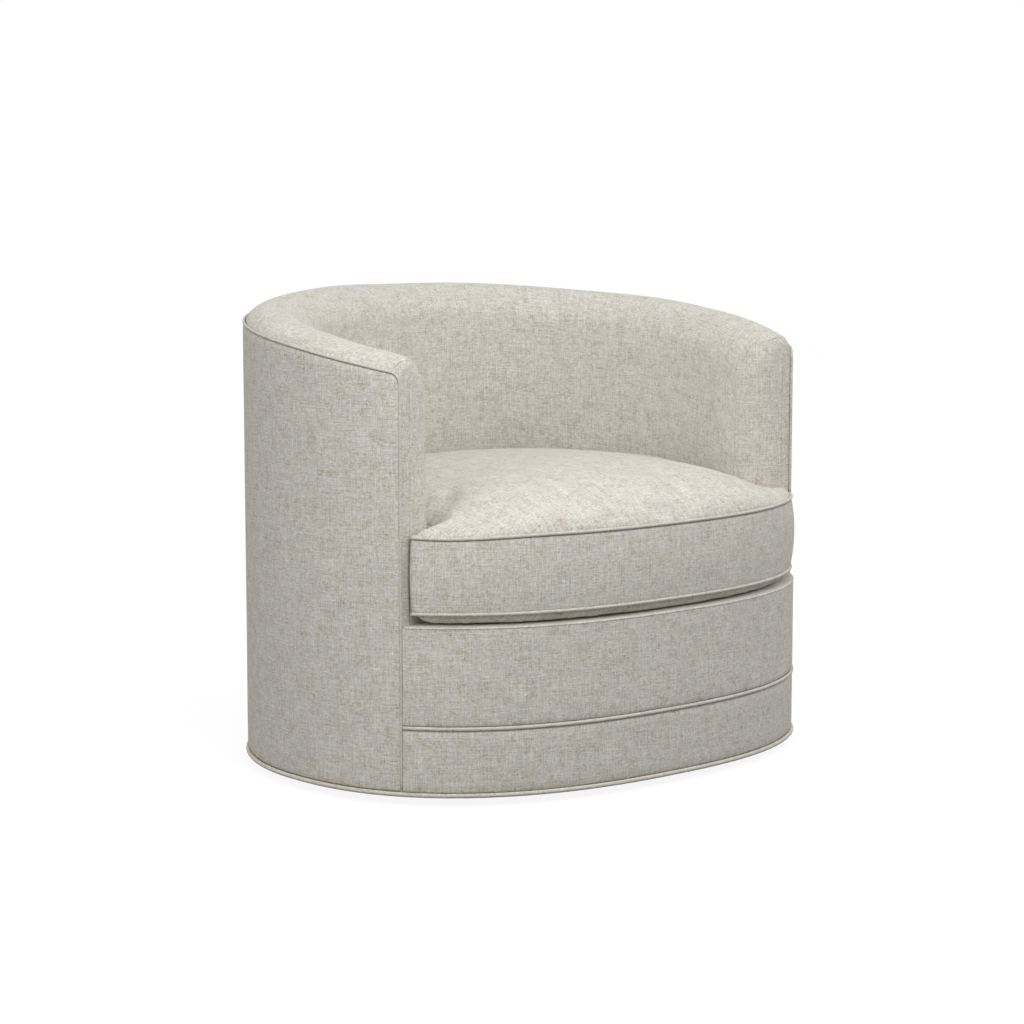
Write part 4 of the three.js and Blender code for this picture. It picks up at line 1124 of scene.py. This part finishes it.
# Boxing: a strip of linen sewn between the cushion's two welts, a little swollen in front and drawn
# in along the back. The welts are covered cords like the chair's own.
boxing_plan = cushion_plan(cushion_welt_radius)
boxing_depth = 0.112
welt_lap = 0.0022
boxing_low = bottom_welt_height + welt_lap
boxing_rise = top_welt_height - welt_lap - boxing_low + welt_droop(boxing_plan)
shares = np.array([0, 0.01, 0.03, 0.06, 0.11, 0.18, 0.27, 0.37, 0.48, 0.59, 0.7, 0.8, 0.87, 0.925,
                   0.96, 0.985, 1])[:, None]
front_swell, ear_swell, back_hollow = -0.003, -0.003, 0.006
pucker_depth = 0.0007
x, y = boxing_plan.T
swell = np.where(y < arm_y, front_swell + ear_swell * smoothstep(x, 0.30, 0.37), 0)
swell += np.where(y > widest_y, back_hollow, 0)
blend = 13
swell = np.convolve(np.concatenate([swell[-(blend // 2):], swell, swell[:blend // 2]]),
                    np.ones(blend) / blend, "valid")
tuck = (edge_dip((1 - shares) * boxing_depth, 0.0022, 0.005)
        + edge_dip(shares * boxing_depth, 0.0006, 0.004))
along = np.arange(len(boxing_plan)) / len(boxing_plan)
pucker = sum(size * np.sin(along * waves * 2 * math.pi + phase + 0.8 * np.sin(along * 31 + phase))
             for waves, phase, size in ((211, 0.3, 0.35), (149, 1.9, 0.5), (87, 4.1, 0.6),
                                        (53, 2.2, 0.6)))
pucker = pucker_depth * np.clip(pucker - 0.5, 0, 2) * np.exp(-((1 - shares) / 0.16) ** 2)
drawn = swell * 4 * shares * (1 - shares) + tuck + pucker * np.minimum(1, (1 - shares) * 20)
boxing_rows = np.array([
    np.c_[drawn_in(boxing_plan, inset[:, None]), boxing_low + share * boxing_rise]
    for share, inset in zip(shares, drawn)])
girth = along * np.linalg.norm(np.roll(boxing_plan, -1, 0) - boxing_plan, axis=1).sum()
cut = np.stack([np.broadcast_to(girth, drawn.shape), boxing_rows[..., 2]], -1)
boxing = thicken(quilted("cushion_boxing_strip", boxing_rows, linen, cut, True), panel_thickness)
placed(boxing, "cushion", "linen", "cushion_boxing")

piping_plan = cushion_plan(cushion_welt_radius, 0.005)
for height, level in ((top_welt_height, "top"), (bottom_welt_height, "bottom")):
    hang = welt_droop(piping_plan) * (level == "top")
    welt(f"cushion_{level}_piping", np.c_[piping_plan, height + hang], cushion_welt_radius, True,
         "cushion", f"cushion_{level}_welt")

# Zip: a woven tape let into the back of the boxing, with a row of moulded teeth down its middle,
# and a cast slider with its bridge and its pull.
tape = woven("zip_tape", (0.30, 0.28, 0.25), (0.46, 0.44, 0.40), 900, 0.85, 0.3)
zip_low, zip_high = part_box("cushion_zip")
zip_height = (zip_low[2] + zip_high[2]) / 2
zip_inset = back_y - zip_high[1]
zip_start = 150
zip_half_height = (zip_high[2] - zip_low[2]) / 2
tape_turns = np.linspace(zip_start, 360 - zip_start, 61)
tape_rows = np.array([
    level_line(tape_turns, zip_inset + sunk, zip_height + rise * zip_half_height)
    for rise, sunk in ((-1, 0.0004), (-0.93, 0.0002), (-0.3, 0.0002), (-0.26, 0.0004),
                       (0.26, 0.0004), (0.3, 0.0002), (0.93, 0.0002), (1, 0.0004))])
tape_cut = np.stack([lengths(tape_rows, 1), tape_rows[..., 2]], -1)
zip_tape = thicken(quilted("zip_tape_sheet", tape_rows, tape, tape_cut), 0.0004)


def flat_faced(piece):
    piece.data.polygons.foreach_set("use_smooth", [False] * len(piece.data.polygons))
    closed_body(piece)


tooth_pitch = 0.22
tooth_stagger = 0.0003
teeth_corners, teeth_faces = [], []
for k, turn in enumerate(np.arange(zip_start + 0.8, 360 - zip_start - 0.7, tooth_pitch)):
    stagger = tooth_stagger if k % 2 else -tooth_stagger
    for sunk, wide, tall in ((0.0004, 0.075, 0.0013), (0.0001, 0.07, 0.0012), (0.0, 0.045, 0.0009)):
        edge = outline([turn - wide, turn + wide, turn + wide, turn - wide], zip_inset + sunk)
        rise = zip_height + stagger + np.array([-tall, -tall, tall, tall])
        teeth_corners += [(*place, height) for place, height in zip(edge, rise)]
    foot, ridge, tip = 12 * k, 12 * k + 4, 12 * k + 8
    teeth_faces += ringed(foot, ridge, 4) + ringed(ridge, tip, 4)
    teeth_faces += [tuple(range(tip, tip + 4)), tuple(range(foot, foot + 4))[::-1]]
moulded = speckled(finish("moulded_teeth", (0.42, 0.40, 0.37), 0.4), 0.002, (1, 1, 1),
                   (0.38, 0.36, 0.33), (0.46, 0.44, 0.40), roughness=(0.3, 0.5))
zip_teeth = made("zip_teeth", teeth_corners, teeth_faces, moulded)
flat_faced(zip_teeth)
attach(zip_teeth, "cushion")
placed(zip_tape, "cushion", "zip", "cushion_zip")

slider_low, slider_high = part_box("zip_slider")
slider_place = [(low + high) / 2 for low, high in zip(slider_low, slider_high)]


def across_rings(low, high, count):
    """Faces between two closed rings, turned the other way"""
    return [(low + k, high + k, high + (k + 1) % count, low + (k + 1) % count)
            for k in range(count)]


def plate(shape, near, far, ease, hole=None):
    """A cast plate with eased edges: its outline is given across and up, from near to far behind,
    and a hole by its place across and its radius"""
    middle = shape.mean(0)
    small = middle + (shape - middle) * (1 - ease / np.abs(shape - middle).max())
    rings = [(small, near), (shape, near + ease), (shape, far - ease), (small, far)]
    sides = len(shape)
    last, eye_near, eye_far = 3 * sides, 4 * sides, 5 * sides
    faces = [face for ring in range(3) for face in ringed(ring * sides, (ring + 1) * sides, sides)]
    if hole is None:
        faces += [tuple(range(sides))[::-1], tuple(range(last, last + sides))]
    else:
        turn = 2 * math.pi * np.arange(sides) / sides
        eye = np.stack([hole[0] + hole[1] * np.cos(turn), hole[1] * np.sin(turn)], -1)
        rings += [(eye, near), (eye, far)]
        faces += across_rings(0, eye_near, sides)
        faces += ringed(last, eye_far, sides)
        faces += across_rings(eye_near, eye_far, sides)
    corners = [(slider_place[0] + x, slider_low[1] + depth, slider_place[2] + z)
               for ring, depth in rings for x, z in ring]
    return corners, faces


def rounded(across, up, middle, power, sides=24):
    """A rounded oblong round a middle"""
    turn = np.arange(sides) / sides * 2 * math.pi
    x, z = np.cos(turn), np.sin(turn)
    size = (np.abs(x) ** power + np.abs(z) ** power) ** (-1 / power)
    return np.stack([middle + across * x * size, up * z * size], -1)


cast_parts = [
    plate(rounded(0.0060, 0.0045, 0.0, 3.2), 0.0, 0.0012, 0.0004),
    plate(rounded(0.0024, 0.0010, -0.0026, 3.0), 0.0010, 0.0034, 0.0004),
    plate(rounded(0.0046, 0.0026, 0.0008, 3.0), 0.0022, 0.0032, 0.0003, (0.0022, 0.0014)),
    plate(rounded(0.0052, 0.0030, -0.0004, 4.0), 0.0034, 0.0040, 0.0002, (-0.0018, 0.0012))]
slider_corners, slider_faces = [], []
for corners, faces in cast_parts:
    first = len(slider_corners)
    slider_corners += corners
    slider_faces += [tuple(first + k for k in face) for face in faces]
slider = made("zip_slider_cast", slider_corners, slider_faces, plated_steel)
flat_faced(slider)
placed(slider, "zip_slider", "zip", "zip_slider")
